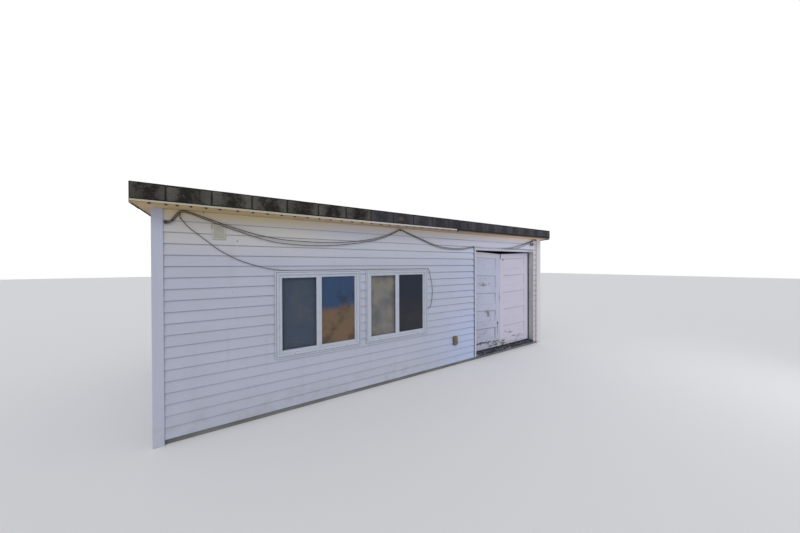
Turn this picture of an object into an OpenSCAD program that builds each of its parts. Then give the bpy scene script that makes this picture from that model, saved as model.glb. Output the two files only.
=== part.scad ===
// Boathouse: one timber room on a low slab, clad in lap siding, under a low single-pitch roof.
// Millimetres. Origin at ground level under the middle of the roof; +X along the front wall,
// +Y from the front wall to the back wall, +Z up. Heights are above the ground.

/* [Body] */
// Length over the corner posts, along the front wall
body_l = 7260; // [6600:10:9000]
// Depth over the corner posts, front to back
body_d = 3660; // [2700:10:6000]
// Height of the slab that carries the walls
slab_h = 60; // [40:5:150]
// How far the slab's edge stands back from the siding
slab_inset = 20; // [5:5:60]
// Thickness of the floor boards on the slab
floor_t = 40; // [20:5:60]
// Thickness of the timber walls behind the siding
wall_t = 110; // [100:5:160]
// Thickness of the siding
siding_t = 15; // [10:1:20]
// How far the corner posts stand proud of the siding
post_proud = 8; // [4:1:15]
// Width of the corner posts, except the front right one
post_w = 96; // [70:2:130]
// Width of the front right corner post's front face
front_right_post_w = 150; // [70:2:160]

/* [Roof] */
// Height of the soffit at the front wall
eave_z = 2600; // [2450:10:3000]
// Fall of the roof from front to back, in degrees
roof_fall = 3; // [1:0.5:5]
// Overhang beyond the corner posts at the front and the back
eave_overhang = 172; // [100:2:300]
// Overhang beyond the corner posts at the two ends
end_overhang = 120; // [60:5:300]
// Thickness of the soffit boards
soffit_t = 12; // [9:1:20]
// Thickness of the rafters and boards between soffit and covering
deck_t = 187; // [120:5:240]
// Thickness of the roof covering
covering_t = 8; // [5:1:15]
// Thickness of the shingle band round the roof's edge
band_t = 10; // [6:1:15]
// Height of the front band's bottom edge above the soffit, where the eave strip is
band_gap_left = 46; // [30:1:80]
// Height of the front band's bottom edge above the soffit, where there is no strip
band_gap_right = 31; // [15:1:80]
// How far the eave strip and the other bands hang below the soffit
band_drop = 9; // [4:1:20]
// Length of the white eave strip, from the roof's left end
eave_strip_l = 4370; // [2000:10:6000]

/* [Windows] */
// Width of a window frame
win_w = 1150; // [900:10:1200]
// Height of a window frame
win_h = 1120; // [700:1:1400]
// Height of the window frames' bottom edge
win_z = 755; // [600:1:1000]
// Distance from the left corner to the first window frame
win_x = 1211; // [300:1:1400]
// Gap between the two window frames
win_gap = 146; // [90:2:400]
// Width of the siding trim round a window
win_trim_w = 24; // [20:1:40]
// How far a window's trim stands proud of the siding
win_trim_proud = 12; // [8:1:20]
// Width of the window frame's bars
frame_bar = 30; // [20:1:45]
// Depth of the window frame in the wall
frame_d = 96; // [80:1:110]
// Height of a sash's rails
sash_bar = 42; // [25:1:50]
// Width of a sash's stiles
sash_stile = 32; // [20:1:50]
// Thickness of a sash, front to back
sash_t = 28; // [20:1:30]
// How far the two sashes overlap at the middle
sash_lap = 34; // [2:1:40]
// Depth of the outer sash behind the siding's face
sash_set = 16; // [10:1:20]
// Thickness of the glass
glass_t = 4; // [3:1:6]
// Thickness of the insect screen
screen_t = 2; // [1:0.5:2]

/* [Doorway] */
// Distance from the clear doorway to the right corner
pier_w = 312; // [300:1:600]
// Clear width of the doorway
door_w = 2008; // [1800:2:2100]
// Thickness of the lining boards round the doorway
lining_t = 8; // [5:1:20]
// Width of the doorway's trim at the left and the top
door_trim_w = 45; // [30:1:70]
// Width of the doorway's trim at the right
door_trim_right_w = 20; // [10:1:30]
// How far the doorway's trim stands proud of the siding
door_trim_proud = 6; // [4:1:12]
// Thickness of the timber sill
sill_t = 45; // [30:1:60]
// How far the sill's nose stands proud of the siding
sill_nose = 15; // [5:1:30]

/* [Door leaves] */
// How far the left leaf runs on behind the wall at the left of the doorway
leaf_hidden = 195; // [60:1:260]
// Height of a leaf at its hinges
leaf_h = 2124; // [1900:1:2200]
// Thickness of a leaf
leaf_t = 35; // [30:1:45]
// Gap between the sill and the leaf, at the hinges
leaf_lift = 28; // [25:1:60]
// Gap between a leaf's top and the doorway's top, at the hinges
head_gap = 23; // [10:1:60]
// How far a leaf's top has sagged at the seam
sag_top = 45; // [0:1:60]
// How far a leaf's bottom has sagged at the seam
sag_bottom = 18; // [0:1:20]
// Gap between the two leaves
seam_gap = 6; // [6:1:15]
// How far the seam's top leans right of its bottom
seam_lean = 20; // [0:1:40]
// Distance from the clear doorway's right side to the right leaf
right_leaf_gap = 83; // [60:1:120]
// Width of a leaf's stiles
stile_w = 137; // [90:1:180]
// Height of a leaf's top rail
top_rail_h = 100; // [70:1:160]
// Height of the rails between the panels
mid_rail_h = 140; // [60:1:160]
// Height of a panel
panel_h = 250; // [150:1:260]
// Panels in a leaf
panel_count = 5; // [2:1:5]
// How deep each panel is sunk below the leaf's two faces
panel_sink = 12; // [5:1:13]

/* [Hinges] */
// Radius of a hinge pin
pin_r = 3; // [2:0.5:3]
// Clearance round a pin
pin_clearance = 0.3; // [0.2:0.1:0.5]
// Outer radius of a knuckle
knuckle_r = 6; // [5:0.5:8]
// Height of a knuckle
knuckle_h = 30; // [20:1:40]
// Gap between the knuckles
knuckle_gap = 0.5; // [0.3:0.1:1]
// Gap between a leaf's hinged edge and the pin's centre
pin_to_leaf = 5; // [5:0.5:10]
// Width of a hinge plate
plate_w = 60; // [40:1:70]
// Thickness of a hinge plate
plate_t = 3; // [2:0.5:4]
// Distance of the top and bottom hinges from the leaf's ends
hinge_inset = 220; // [120:10:400]

/* [Small parts] */
// Length of the door bolt
bolt_l = 140; // [80:5:200]
// Radius of the door bolt
bolt_r = 6; // [4:0.5:8]
// Width of the outlet cover
outlet_w = 106; // [80:1:160]
// Height of the outlet cover
outlet_h = 175; // [120:1:260]
// Depth of the outlet cover
outlet_d = 48; // [25:1:80]
// Radius of the outlet cover's corners
outlet_corner_r = 22; // [5:1:35]
// Distance from the outlet cover to the clear doorway
outlet_gap = 535; // [100:5:900]
// Height of the outlet cover's bottom edge
outlet_z = 405; // [200:1:700]
// Radius of the two upper cables
cable_r = 5; // [3:0.5:5]
// Radius of the lower wire
wire_r = 4; // [3:0.5:4]

/* [Hidden] */
$fn = 32;
eps = 1;

// Planes, from outside to inside: corner posts, siding, wall timber, room
left_x = -body_l / 2;
right_x = body_l / 2;
front_y = -body_d / 2;
back_y = body_d / 2;
siding_left_x = left_x + post_proud;
siding_right_x = right_x - post_proud;
siding_front_y = front_y + post_proud;
siding_back_y = back_y - post_proud;
core_left_x = siding_left_x + siding_t;
core_right_x = siding_right_x - siding_t;
core_front_y = siding_front_y + siding_t;
core_back_y = siding_back_y - siding_t;
room_left_x = core_left_x + wall_t;
room_right_x = core_right_x - wall_t;
room_front_y = core_front_y + wall_t;
room_back_y = core_back_y - wall_t;

// Roof
roof_front_y = front_y - eave_overhang;
roof_back_y = back_y + eave_overhang;
roof_left_x = left_x - end_overhang;
roof_right_x = right_x + end_overhang;
roof_h = soffit_t + deck_t + covering_t;
strip_right_x = roof_left_x + eave_strip_l;

// Height of the soffit's underside at a distance y
function soffit_z(y) = eave_z - (y - siding_front_y) * tan(roof_fall);

// Doorway
door_right_x = right_x - pier_w;
door_left_x = door_right_x - door_w;
sill_top_z = slab_h + sill_t;
leaf_z = sill_top_z + leaf_lift;
door_top_z = leaf_z + leaf_h + head_gap;
trim_left_x = door_left_x - door_trim_w;
trim_right_x = door_right_x + door_trim_right_w;
trim_top_z = door_top_z + door_trim_w;

// Door leaves: their inner faces lie flush with the wall's inner face
leaf_back_y = room_front_y;
leaf_front_y = leaf_back_y - leaf_t;
left_leaf_x = door_left_x - leaf_hidden;
right_leaf_x = door_right_x - right_leaf_gap;
leaf_w = (right_leaf_x - left_leaf_x - seam_gap) / 2;
pocket_gap = 10;
left_rebate_x = left_leaf_x - pocket_gap;
stop_gap = 6;
stop_back_y = leaf_front_y - stop_gap;
hinge_post_gap = 8;
hinge_post_x = right_leaf_x + hinge_post_gap;
hinge_post_t = 20;

// Hinge pins, one line for each leaf
pin_y = leaf_back_y + knuckle_r;
left_pin_x = left_leaf_x - pin_to_leaf;
right_pin_x = right_leaf_x + pin_to_leaf;
hinge_h = 3 * knuckle_h + 2 * knuckle_gap;
hinge_heights = [
  leaf_z + hinge_inset,
  leaf_z + (leaf_h - hinge_h) / 2,
  leaf_z + leaf_h - hinge_inset - hinge_h
];

// Windows
window_left = [left_x + win_x, left_x + win_x + win_w + win_gap];
frame_proud = win_trim_proud - 2;
track_gap = 2;
sash_w = (win_w - 2 * frame_bar + sash_lap) / 2;
outer_sash_y = siding_front_y + sash_set;
inner_sash_y = outer_sash_y + sash_t + track_gap;

// Routes of the three cables on the front wall: distance along X, height
cable_stand_off = 7;
cable_y = siding_front_y - cable_stand_off - cable_r;
wire_y = siding_front_y - cable_stand_off + 1;
upper_route = [
  [-3500, 2455], [-3490, 2455], [-3474, 2464], [-3452, 2491], [-3430, 2527], [-3407, 2564], [-3370, 2590],
  [-3300, 2578], [-3230, 2553], [-3110, 2510], [-2975, 2462], [-2825, 2414],
  [-2650, 2366], [-2460, 2328], [-2300, 2310], [-2125, 2302], [-1925, 2299], [-1715, 2302],
  [-1415, 2325], [-1050, 2384], [-800, 2454], [-620, 2530], [-520, 2574], [-350, 2520],
  [-160, 2462], [130, 2370], [365, 2314], [690, 2292], [985, 2310], [1235, 2345],
  [1600, 2345], [1980, 2345], [2300, 2354], [2555, 2384], [2860, 2452], [3240, 2550],
  [3345, 2588], [3400, 2588]
];
second_route = [
  [-3500, 2441], [-3488, 2441], [-3468, 2451], [-3442, 2480], [-3419, 2517], [-3396, 2551], [-3362, 2575],
  [-3303, 2563], [-3230, 2536], [-3110, 2490], [-2975, 2438], [-2825, 2388],
  [-2650, 2330], [-2460, 2282], [-2300, 2262], [-2125, 2252], [-1925, 2250], [-1715, 2258],
  [-1415, 2292], [-1050, 2358], [-800, 2434], [-620, 2514], [-520, 2560], [-350, 2506],
  [-160, 2444], [130, 2350], [365, 2294], [690, 2272], [985, 2290], [1235, 2331],
  [1980, 2331], [2300, 2338], [2555, 2370], [2860, 2438], [3240, 2536], [3345, 2574], [3400, 2574]
];
lower_route = [
  [-3391, 2542], [-3391, 2527], [-3384, 2502], [-3360, 2466], [-3320, 2412], [-3230, 2330],
  [-3140, 2250], [-3030, 2155], [-2830, 2036], [-2615, 1958], [-2480, 1926], [-2310, 1903],
  [-1690, 1903], [28, 1903], [66, 1903], [94, 1868], [128, 1745], [160, 1600], [165, 1440],
  [148, 1300], [120, 1215], [95, 1190], [72, 1188], [51, 1188]
];
cable_sides = 8;
// Which of the second cable's points are held by hooks
hooked_points = [5, 22];
hook_r = 3;
end_block_w = 22;
end_block_d = 22;
end_block_margin = 8;

// Shapes

// A box between two corners
module block(low, high) {
  translate(low) cube(high - low);
}

// A straight bar along X whose section is drawn in the YZ plane
module bar_along_x(x0, x1, points) {
  translate([x0, 0, 0]) rotate([90, 0, 90]) linear_extrude(x1 - x0) polygon(points);
}

// A straight bar along Y whose section is drawn in the XZ plane
module bar_along_y(y0, y1, points) {
  translate([0, y1, 0]) rotate([90, 0, 0]) linear_extrude(y1 - y0) polygon(points);
}

// A layer that follows the roof's fall, between two heights above the soffit's underside
module roof_layer(x0, x1, y0, y1, low, high) {
  bar_along_x(x0, x1, [
    [y0, soffit_z(y0) + low], [y1, soffit_z(y1) + low],
    [y1, soffit_z(y1) + high], [y0, soffit_z(y0) + high]
  ]);
}

// An upright slab whose top follows the roof's fall
module upright(x0, x1, y0, y1, z0, top) {
  bar_along_x(x0, x1, [
    [y0, z0], [y1, z0], [y1, soffit_z(y1) + top], [y0, soffit_z(y0) + top]
  ]);
}

// A flat ring in an XZ plane, between an outer box and the same box less a border
module ring(x0, x1, z0, z1, border, y0, y1) {
  difference() {
    block([x0, y0, z0], [x1, y1, z1]);
    block([x0 + border, y0 - eps, z0 + border], [x1 - border, y1 + eps, z1 - border]);
  }
}

// Holes for both windows, through whatever lies between y0 and y1
module window_holes(y0, y1) {
  for (x = window_left)
    block([x, y0 - eps, win_z], [x + win_w, y1 + eps, win_z + win_h]);
}

// Base

module foundation() {
  color("darkgray")
    block([siding_left_x + slab_inset, siding_front_y + slab_inset, 0],
      [siding_right_x - slab_inset, siding_back_y - slab_inset, slab_h]);
}

module floor_boards() {
  color("tan")
    block([room_left_x, room_front_y, slab_h], [room_right_x, room_back_y, slab_h + floor_t]);
}

module door_sill() {
  color("dimgray") {
    block([left_rebate_x, core_front_y, slab_h], [door_right_x + lining_t, room_front_y, sill_top_z]);
    block([door_left_x, siding_front_y - sill_nose, slab_h],
      [door_right_x, core_front_y + eps, sill_top_z]);
  }
}

// Walls

module front_wall() {
  color("burlywood") difference() {
    upright(core_left_x, left_rebate_x, core_front_y, room_front_y, slab_h, soffit_t);
    window_holes(core_front_y, room_front_y);
  }
}

module front_wall_header() {
  color("burlywood")
    upright(left_rebate_x, door_right_x + lining_t, core_front_y, room_front_y,
      door_top_z + lining_t, soffit_t);
}

module front_wall_pier() {
  color("burlywood")
    upright(door_right_x + lining_t, core_right_x, core_front_y, room_front_y, slab_h, soffit_t);
}

module back_wall() {
  color("burlywood")
    upright(core_left_x, core_right_x, room_back_y, core_back_y, slab_h, soffit_t);
}

module left_end_wall() {
  color("burlywood")
    upright(core_left_x, room_left_x, room_front_y, room_back_y, slab_h, soffit_t);
}

module right_end_wall() {
  color("burlywood")
    upright(room_right_x, core_right_x, room_front_y, room_back_y, slab_h, soffit_t);
}

// Siding and corner posts

module front_siding() {
  color("white") difference() {
    upright(left_x + post_w, right_x - front_right_post_w, siding_front_y, core_front_y, slab_h, 0);
    window_holes(siding_front_y, core_front_y);
    block([trim_left_x, siding_front_y - eps, slab_h - eps],
      [trim_right_x, core_front_y + eps, trim_top_z]);
  }
}

module back_siding() {
  color("white")
    upright(left_x + post_w, right_x - post_w, core_back_y, siding_back_y, slab_h, 0);
}

module end_siding(x0) {
  color("white")
    upright(x0, x0 + siding_t, front_y + post_w, back_y - post_w, slab_h, 0);
}

// A corner post is an angle: one leg along the front or back, one along the end.
// sx and sy are 1 at the right and back, -1 at the left and front.
module corner_post(sx, sy, front_leg) {
  leg_t = post_proud + siding_t;
  cx = sx * right_x;
  cy = sy * back_y;
  x_pair = [cx, cx - sx * front_leg];
  y_pair = [cy, cy - sy * leg_t];
  upright(min(x_pair), max(x_pair), min(y_pair), max(y_pair), 0, 0);
  x_thin = [cx, cx - sx * leg_t];
  y_long = [cy, cy - sy * post_w];
  upright(min(x_thin), max(x_thin), min(y_long), max(y_long), 0, 0);
}

module corner_posts() {
  color("white") {
    corner_post(-1, -1, post_w);
    corner_post(1, -1, front_right_post_w);
    corner_post(-1, 1, post_w);
    corner_post(1, 1, post_w);
  }
}

// Roof

module soffit() {
  color("tan") difference() {
    roof_layer(roof_left_x + band_t, roof_right_x - band_t,
      roof_front_y + band_t, roof_back_y - band_t, 0, soffit_t);
    block([core_left_x, core_front_y, 0], [core_right_x, core_back_y, 2 * eave_z]);
  }
}

module roof_deck() {
  color("peru")
    roof_layer(roof_left_x + band_t, roof_right_x - band_t,
      roof_front_y + band_t, roof_back_y - band_t, soffit_t, soffit_t + deck_t);
}

module roof_covering() {
  color("dimgray")
    roof_layer(roof_left_x + band_t, roof_right_x - band_t,
      roof_front_y + band_t, roof_back_y - band_t, soffit_t + deck_t, roof_h);
}

module front_roof_band() {
  color("slategray") {
    roof_layer(roof_left_x, strip_right_x, roof_front_y, roof_front_y + band_t, band_gap_left, roof_h);
    roof_layer(strip_right_x, roof_right_x, roof_front_y, roof_front_y + band_t,
      band_gap_right, roof_h);
  }
}

module back_roof_band() {
  color("slategray")
    roof_layer(roof_left_x, roof_right_x, roof_back_y - band_t, roof_back_y, -band_drop, roof_h);
}

module end_roof_bands() {
  color("slategray")
    for (x = [roof_left_x, roof_right_x - band_t])
      roof_layer(x, x + band_t, roof_front_y + band_t, roof_back_y - band_t, -band_drop, roof_h);
}

module eave_strip() {
  color("white")
    roof_layer(roof_left_x, strip_right_x, roof_front_y, roof_front_y + band_t,
      -band_drop, band_gap_left);
}

// Doorway

module door_stop_post() {
  color("burlywood")
    block([left_rebate_x, core_front_y, sill_top_z],
      [door_left_x - lining_t, stop_back_y, door_top_z + lining_t]);
}

module hinge_post() {
  color("dimgray")
    block([hinge_post_x, room_front_y - hinge_post_t, sill_top_z],
      [door_right_x, room_front_y, door_top_z]);
}

module doorway_lining() {
  color("lightgray") {
    block([door_left_x - lining_t, core_front_y, sill_top_z],
      [door_left_x, stop_back_y, door_top_z + lining_t]);
    block([door_left_x - lining_t, core_front_y, door_top_z],
      [door_right_x + lining_t, stop_back_y, door_top_z + lining_t]);
    block([door_right_x, core_front_y, sill_top_z],
      [door_right_x + lining_t, room_front_y, door_top_z + lining_t]);
    block([left_rebate_x, stop_back_y, door_top_z],
      [door_right_x + lining_t, room_front_y, door_top_z + lining_t]);
  }
}

module doorway_trim() {
  y0 = siding_front_y - door_trim_proud;
  color("white") {
    block([trim_left_x, y0, slab_h], [door_left_x, core_front_y, trim_top_z]);
    block([trim_left_x, y0, door_top_z], [trim_right_x, core_front_y, trim_top_z]);
    block([door_right_x, y0, slab_h], [trim_right_x, core_front_y, trim_top_z]);
  }
}

// Windows: each is a horizontal slider, with the outer sash at the right

module window_trim(x) {
  color("white")
    ring(x - win_trim_w, x + win_w + win_trim_w, win_z - win_trim_w, win_z + win_h + win_trim_w,
      win_trim_w, siding_front_y - win_trim_proud, siding_front_y);
}

module window_frame(x) {
  y0 = siding_front_y - frame_proud;
  color("white") ring(x, x + win_w, win_z, win_z + win_h, frame_bar, y0, y0 + frame_d);
}

module sash(x, y) {
  z0 = win_z + frame_bar;
  z1 = win_z + win_h - frame_bar;
  difference() {
    block([x, y, z0], [x + sash_w, y + sash_t, z1]);
    block([x + sash_stile, y - eps, z0 + sash_bar], [x + sash_w - sash_stile, y + sash_t + eps, z1 - sash_bar]);
  }
}

module window_sashes(x) {
  color("white") {
    sash(x + frame_bar, inner_sash_y);
    sash(x + win_w - frame_bar - sash_w, outer_sash_y);
  }
}

// The sheet that fills a sash's opening, grown by a lap
module sheet_in_sash(x, y0, y1, lap) {
  block([x + sash_stile - lap, y0, win_z + frame_bar + sash_bar - lap],
    [x + sash_w - sash_stile + lap, y1, win_z + win_h - frame_bar - sash_bar + lap]);
}

module window_panes(x) {
  inset = (sash_t - glass_t) / 2;
  color("lightsteelblue") {
    sheet_in_sash(x + frame_bar, inner_sash_y + inset, inner_sash_y + inset + glass_t, 0);
    sheet_in_sash(x + win_w - frame_bar - sash_w, outer_sash_y + inset,
      outer_sash_y + inset + glass_t, 0);
  }
}

module window_screen(x) {
  color("gray")
    sheet_in_sash(x + frame_bar, inner_sash_y - screen_t, inner_sash_y, track_gap);
}

// Door leaves. side is 1 for the left leaf and -1 for the right one.
// u runs from 0 at the hinged edge to 1 at the seam, and v is the height on the leaf.

function leaf_point(side, u, v) = [
  (side > 0 ? left_leaf_x : right_leaf_x) + side * u * leaf_w + u * seam_lean * (v / leaf_h - 0.5),
  leaf_z + v - u * (sag_bottom + (sag_top - sag_bottom) * v / leaf_h)
];

function leaf_outline(side, u0, u1, v0, v1) = [
  leaf_point(side, u0, v0), leaf_point(side, u1, v0), leaf_point(side, u1, v1), leaf_point(side, u0, v1)
];

module door_leaf(side) {
  u_stile = stile_w / leaf_w;
  color("whitesmoke") difference() {
    bar_along_y(leaf_front_y, leaf_back_y, leaf_outline(side, 0, 1, 0, leaf_h));
    for (i = [0 : panel_count - 1]) {
      v1 = leaf_h - top_rail_h - i * (panel_h + mid_rail_h);
      outline = leaf_outline(side, u_stile, 1 - u_stile, v1 - panel_h, v1);
      bar_along_y(leaf_front_y - eps, leaf_front_y + panel_sink, outline);
      bar_along_y(leaf_back_y - panel_sink, leaf_back_y + eps, outline);
    }
  }
}

// Hinges: the outer knuckles and the pin are fixed, and the middle knuckle turns with the leaf

module knuckle(x, z, h, bore_r) {
  difference() {
    translate([x, pin_y, z]) cylinder(r = knuckle_r, h = h);
    translate([x, pin_y, z - eps]) cylinder(r = bore_r, h = h + 2 * eps);
  }
}

// side is 1 at the left leaf, whose fixed plate lies to the left of its pin
module fixed_hinge(pin_x, side, z) {
  near = pin_x - side * pin_r;
  far = near - side * plate_w;
  for (k = [0, 2 * (knuckle_h + knuckle_gap)]) {
    translate([pin_x, pin_y, z + k]) cylinder(r = knuckle_r, h = knuckle_h);
    block([min(near, far), leaf_back_y, z + k], [max(near, far), leaf_back_y + plate_t, z + k + knuckle_h]);
  }
  translate([pin_x, pin_y, z + eps]) cylinder(r = pin_r, h = hinge_h - 2 * eps);
}

module fixed_hinges() {
  color("darkslategray")
    for (z = hinge_heights) {
      fixed_hinge(left_pin_x, 1, z);
      fixed_hinge(right_pin_x, -1, z);
    }
}

module leaf_hinges(pin_x, side) {
  near = pin_x + side * pin_to_leaf;
  far = near + side * plate_w;
  color("darkslategray")
    for (z = hinge_heights) {
      z0 = z + knuckle_h + knuckle_gap;
      difference() {
        union() {
          translate([pin_x, pin_y, z0]) cylinder(r = knuckle_r, h = knuckle_h);
          block([min(near, far), leaf_back_y, z0], [max(near, far), leaf_back_y + plate_t, z0 + knuckle_h]);
        }
        translate([pin_x, pin_y, z0 - eps]) cylinder(r = pin_r + pin_clearance, h = knuckle_h + 2 * eps);
      }
    }
}

// Small parts

module door_bolt() {
  seam_top = leaf_point(-1, 1, leaf_h);
  bolt_in = 16;
  bolt_rise = 25;
  keeper_h = 12;
  x = seam_top[0] + bolt_in;
  z = seam_top[1] + bolt_rise - bolt_l;
  color("gray") {
    translate([x, leaf_front_y - bolt_r, z]) cylinder(r = bolt_r, h = bolt_l);
    for (dz = [bolt_l / 5, bolt_l / 2])
      block([x - bolt_r - 2, leaf_front_y - bolt_r, z + dz], [x + bolt_r + 2, leaf_front_y, z + dz + keeper_h]);
  }
}

module outlet_cover() {
  r = outlet_corner_r;
  x = door_left_x - outlet_gap - outlet_w;
  color("tan")
    translate([x, siding_front_y, outlet_z]) rotate([90, 0, 0]) linear_extrude(outlet_d) {
      translate([r, 0]) square([outlet_w - 2 * r, outlet_h]);
      translate([0, r]) square([outlet_w, outlet_h - 2 * r]);
      for (cx = [r, outlet_w - r], cz = [r, outlet_h - r])
        translate([cx, cz]) circle(r);
    }
}

// Blocks that hold the cables' ends, and the hooks that hold the second cable's peaks up

module end_block(x0, x1, z0, z1) {
  block([x0, siding_front_y - end_block_d, z0 - end_block_margin],
    [x1, siding_front_y, z1 + end_block_margin]);
}

module hook(spot, course) {
  y = cable_y - cable_r - hook_r;
  reach = cable_r + hook_r;
  translate([spot[0] + reach * course[1], 0, spot[1] - reach * course[0]]) {
    translate([0, siding_front_y, 0]) rotate([90, 0, 0])
      cylinder(r = hook_r, h = siding_front_y - y + hook_r);
    translate([0, y, 0]) cylinder(r = hook_r, h = 4 * cable_r);
  }
}

module cable_hooks() {
  first = upper_route[0];
  last = upper_route[len(upper_route) - 1];
  color("dimgray") {
    end_block(first[0] - end_block_w, first[0], second_route[0][1], first[1]);
    end_block(last[0], last[0] + end_block_w, second_route[len(second_route) - 1][1], last[1]);
    for (i = hooked_points) hook(second_route[i], heading(second_route, i));
  }
}

// A tube swept along a route of [x, z] points at one distance y
function unit(v) = v / norm(v);
function heading(route, i) =
  unit(route[min(i + 1, len(route) - 1)] - route[max(i - 1, 0)]);

module tube(route, y, r) {
  n = cable_sides;
  last = len(route) - 1;
  rings = [
    for (i = [0 : last]) let (h = heading(route, i))
      for (k = [0 : n - 1]) let (a = 360 * k / n)
        [route[i][0] - r * sin(a) * h[1], y + r * cos(a), route[i][1] + r * sin(a) * h[0]]
  ];
  sides = [
    for (i = [0 : last - 1], k = [0 : n - 1])
      [i * n + k, i * n + (k + 1) % n, (i + 1) * n + (k + 1) % n, (i + 1) * n + k]
  ];
  start_cap = [for (k = [n - 1 : -1 : 0]) k];
  end_cap = [for (k = [0 : n - 1]) last * n + k];
  polyhedron(rings, concat(sides, [start_cap], [end_cap]), convexity = 10);
}

module upper_cable() {
  color("black") tube(upper_route, cable_y, cable_r);
}

module second_cable() {
  color("black") tube(second_route, cable_y, cable_r);
}

module lower_wire() {
  color("black") tube(lower_route, wire_y, wire_r);
}

foundation();
floor_boards();  // floor
door_sill();
front_wall();
front_wall_header();
front_wall_pier();
back_wall();
left_end_wall();
right_end_wall();
front_siding();
back_siding();
end_siding(siding_left_x);  // left_end_siding
end_siding(core_right_x);  // right_end_siding
corner_posts();
soffit();
roof_deck();
roof_covering();
front_roof_band();
back_roof_band();
end_roof_bands();
eave_strip();
door_stop_post();
hinge_post();
doorway_lining();
doorway_trim();
window_trim(window_left[0]);  // window_1_trim
window_frame(window_left[0]);  // window_1_frame
window_sashes(window_left[0]);  // window_1_sashes
window_panes(window_left[0]);  // window_1_panes
window_screen(window_left[0]);  // window_1_screen
window_trim(window_left[1]);  // window_2_trim
window_frame(window_left[1]);  // window_2_frame
window_sashes(window_left[1]);  // window_2_sashes
window_panes(window_left[1]);  // window_2_panes
window_screen(window_left[1]);  // window_2_screen
outlet_cover();
cable_hooks();
upper_cable();
second_cable();
lower_wire();
fixed_hinges();
door_leaf(1);  // left_door_leaf
leaf_hinges(left_pin_x, 1);  // left_leaf_hinges
door_leaf(-1);  // right_door_leaf
leaf_hinges(right_pin_x, -1);  // right_leaf_hinges
door_bolt();
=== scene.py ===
"""Looks for the boathouse: siding courses, roof shingles, old door leaves, windows and cables.

Everything is in metres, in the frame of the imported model: +X along the front wall, +Y towards
the back, +Z up, with the ground at 0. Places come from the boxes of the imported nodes.
"""
import math
import random

import bmesh
import bpy
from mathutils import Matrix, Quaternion, Vector, noise


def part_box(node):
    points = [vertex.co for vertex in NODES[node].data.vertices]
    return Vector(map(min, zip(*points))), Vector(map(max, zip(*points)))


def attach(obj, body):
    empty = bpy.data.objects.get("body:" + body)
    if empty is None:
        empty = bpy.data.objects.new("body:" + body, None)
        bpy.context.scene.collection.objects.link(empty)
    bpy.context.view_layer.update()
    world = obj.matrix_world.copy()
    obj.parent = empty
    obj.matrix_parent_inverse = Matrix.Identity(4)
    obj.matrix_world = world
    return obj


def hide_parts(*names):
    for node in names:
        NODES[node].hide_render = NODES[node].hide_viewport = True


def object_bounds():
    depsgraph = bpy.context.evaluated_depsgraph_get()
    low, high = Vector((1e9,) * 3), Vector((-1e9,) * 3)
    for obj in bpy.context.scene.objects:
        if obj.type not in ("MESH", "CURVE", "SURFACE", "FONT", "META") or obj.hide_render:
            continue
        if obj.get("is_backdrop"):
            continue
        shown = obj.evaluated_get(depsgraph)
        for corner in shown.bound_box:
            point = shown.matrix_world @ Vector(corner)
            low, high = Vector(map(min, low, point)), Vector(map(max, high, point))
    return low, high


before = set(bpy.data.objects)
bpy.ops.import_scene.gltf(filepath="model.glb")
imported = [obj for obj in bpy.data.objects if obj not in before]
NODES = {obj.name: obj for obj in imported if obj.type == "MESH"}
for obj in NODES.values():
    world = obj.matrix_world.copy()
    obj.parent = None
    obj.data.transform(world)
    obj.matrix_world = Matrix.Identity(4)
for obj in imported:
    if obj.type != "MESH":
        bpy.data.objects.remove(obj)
CAD_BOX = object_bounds()
BUILDING = "building"
# The front of the siding on the front wall
FRONT_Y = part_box("front_siding")[0].y


def add_object(name, data):
    made = bpy.data.objects.new(name, data)
    bpy.context.scene.collection.objects.link(made)
    return made


def aim(made, towards, roll=0.0):
    """Turns an object so that it looks along a direction, and then rolls it about that line."""
    made.rotation_mode = "QUATERNION"
    made.rotation_quaternion = Vector(towards).to_track_quat("-Z", "Y") @ Quaternion((0, 0, 1), roll)


def between(low, high, share):
    return low + (high - low) * share


# Camera: where the eye stands and how it looks

# Focal length as a share of the picture's width
FOCAL_SHARE = 0.3162
SENSOR_WIDTH = 36.0
EYE = (-2.7316, -5.5206, 1.9650)
# Angles of the view in radians: from +X towards +Y, above the horizon, and about the view's own line
HEADING = 1.0323
RISE = -0.0042
ROLL = -0.0039


def make_camera():
    data = bpy.data.cameras.new("camera")
    data.sensor_width = SENSOR_WIDTH
    data.lens = FOCAL_SHARE * SENSOR_WIDTH
    camera = add_object("camera", data)
    camera.location = EYE
    level = math.cos(RISE)
    aim(camera, (math.cos(HEADING) * level, math.sin(HEADING) * level, math.sin(RISE)), ROLL)
    bpy.context.scene.camera = camera


# Cables on the front wall: points of (x, height) in metres, as in the part's source

CABLE_RADIUS = 0.005
WIRE_RADIUS = 0.004
CABLE_STAND_OFF = 0.012
WIRE_STAND_OFF = 0.006
UPPER_ROUTE = [
    (-3.500, 2.455), (-3.490, 2.455), (-3.474, 2.464), (-3.452, 2.491), (-3.430, 2.527), (-3.407, 2.564),
    (-3.370, 2.590),
    (-3.300, 2.578), (-3.230, 2.553), (-3.110, 2.510), (-2.975, 2.462), (-2.825, 2.414),
    (-2.650, 2.366), (-2.460, 2.328), (-2.300, 2.310), (-2.125, 2.302),
    (-1.925, 2.299), (-1.715, 2.302), (-1.415, 2.325), (-1.050, 2.384), (-0.800, 2.454),
    (-0.620, 2.530), (-0.520, 2.574), (-0.350, 2.520), (-0.160, 2.462), (0.130, 2.370),
    (0.365, 2.314), (0.690, 2.292), (0.985, 2.310), (1.235, 2.345), (1.600, 2.345),
    (1.980, 2.345), (2.300, 2.354), (2.555, 2.384), (2.860, 2.452), (3.240, 2.550),
    (3.345, 2.588), (3.400, 2.588),
]
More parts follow.
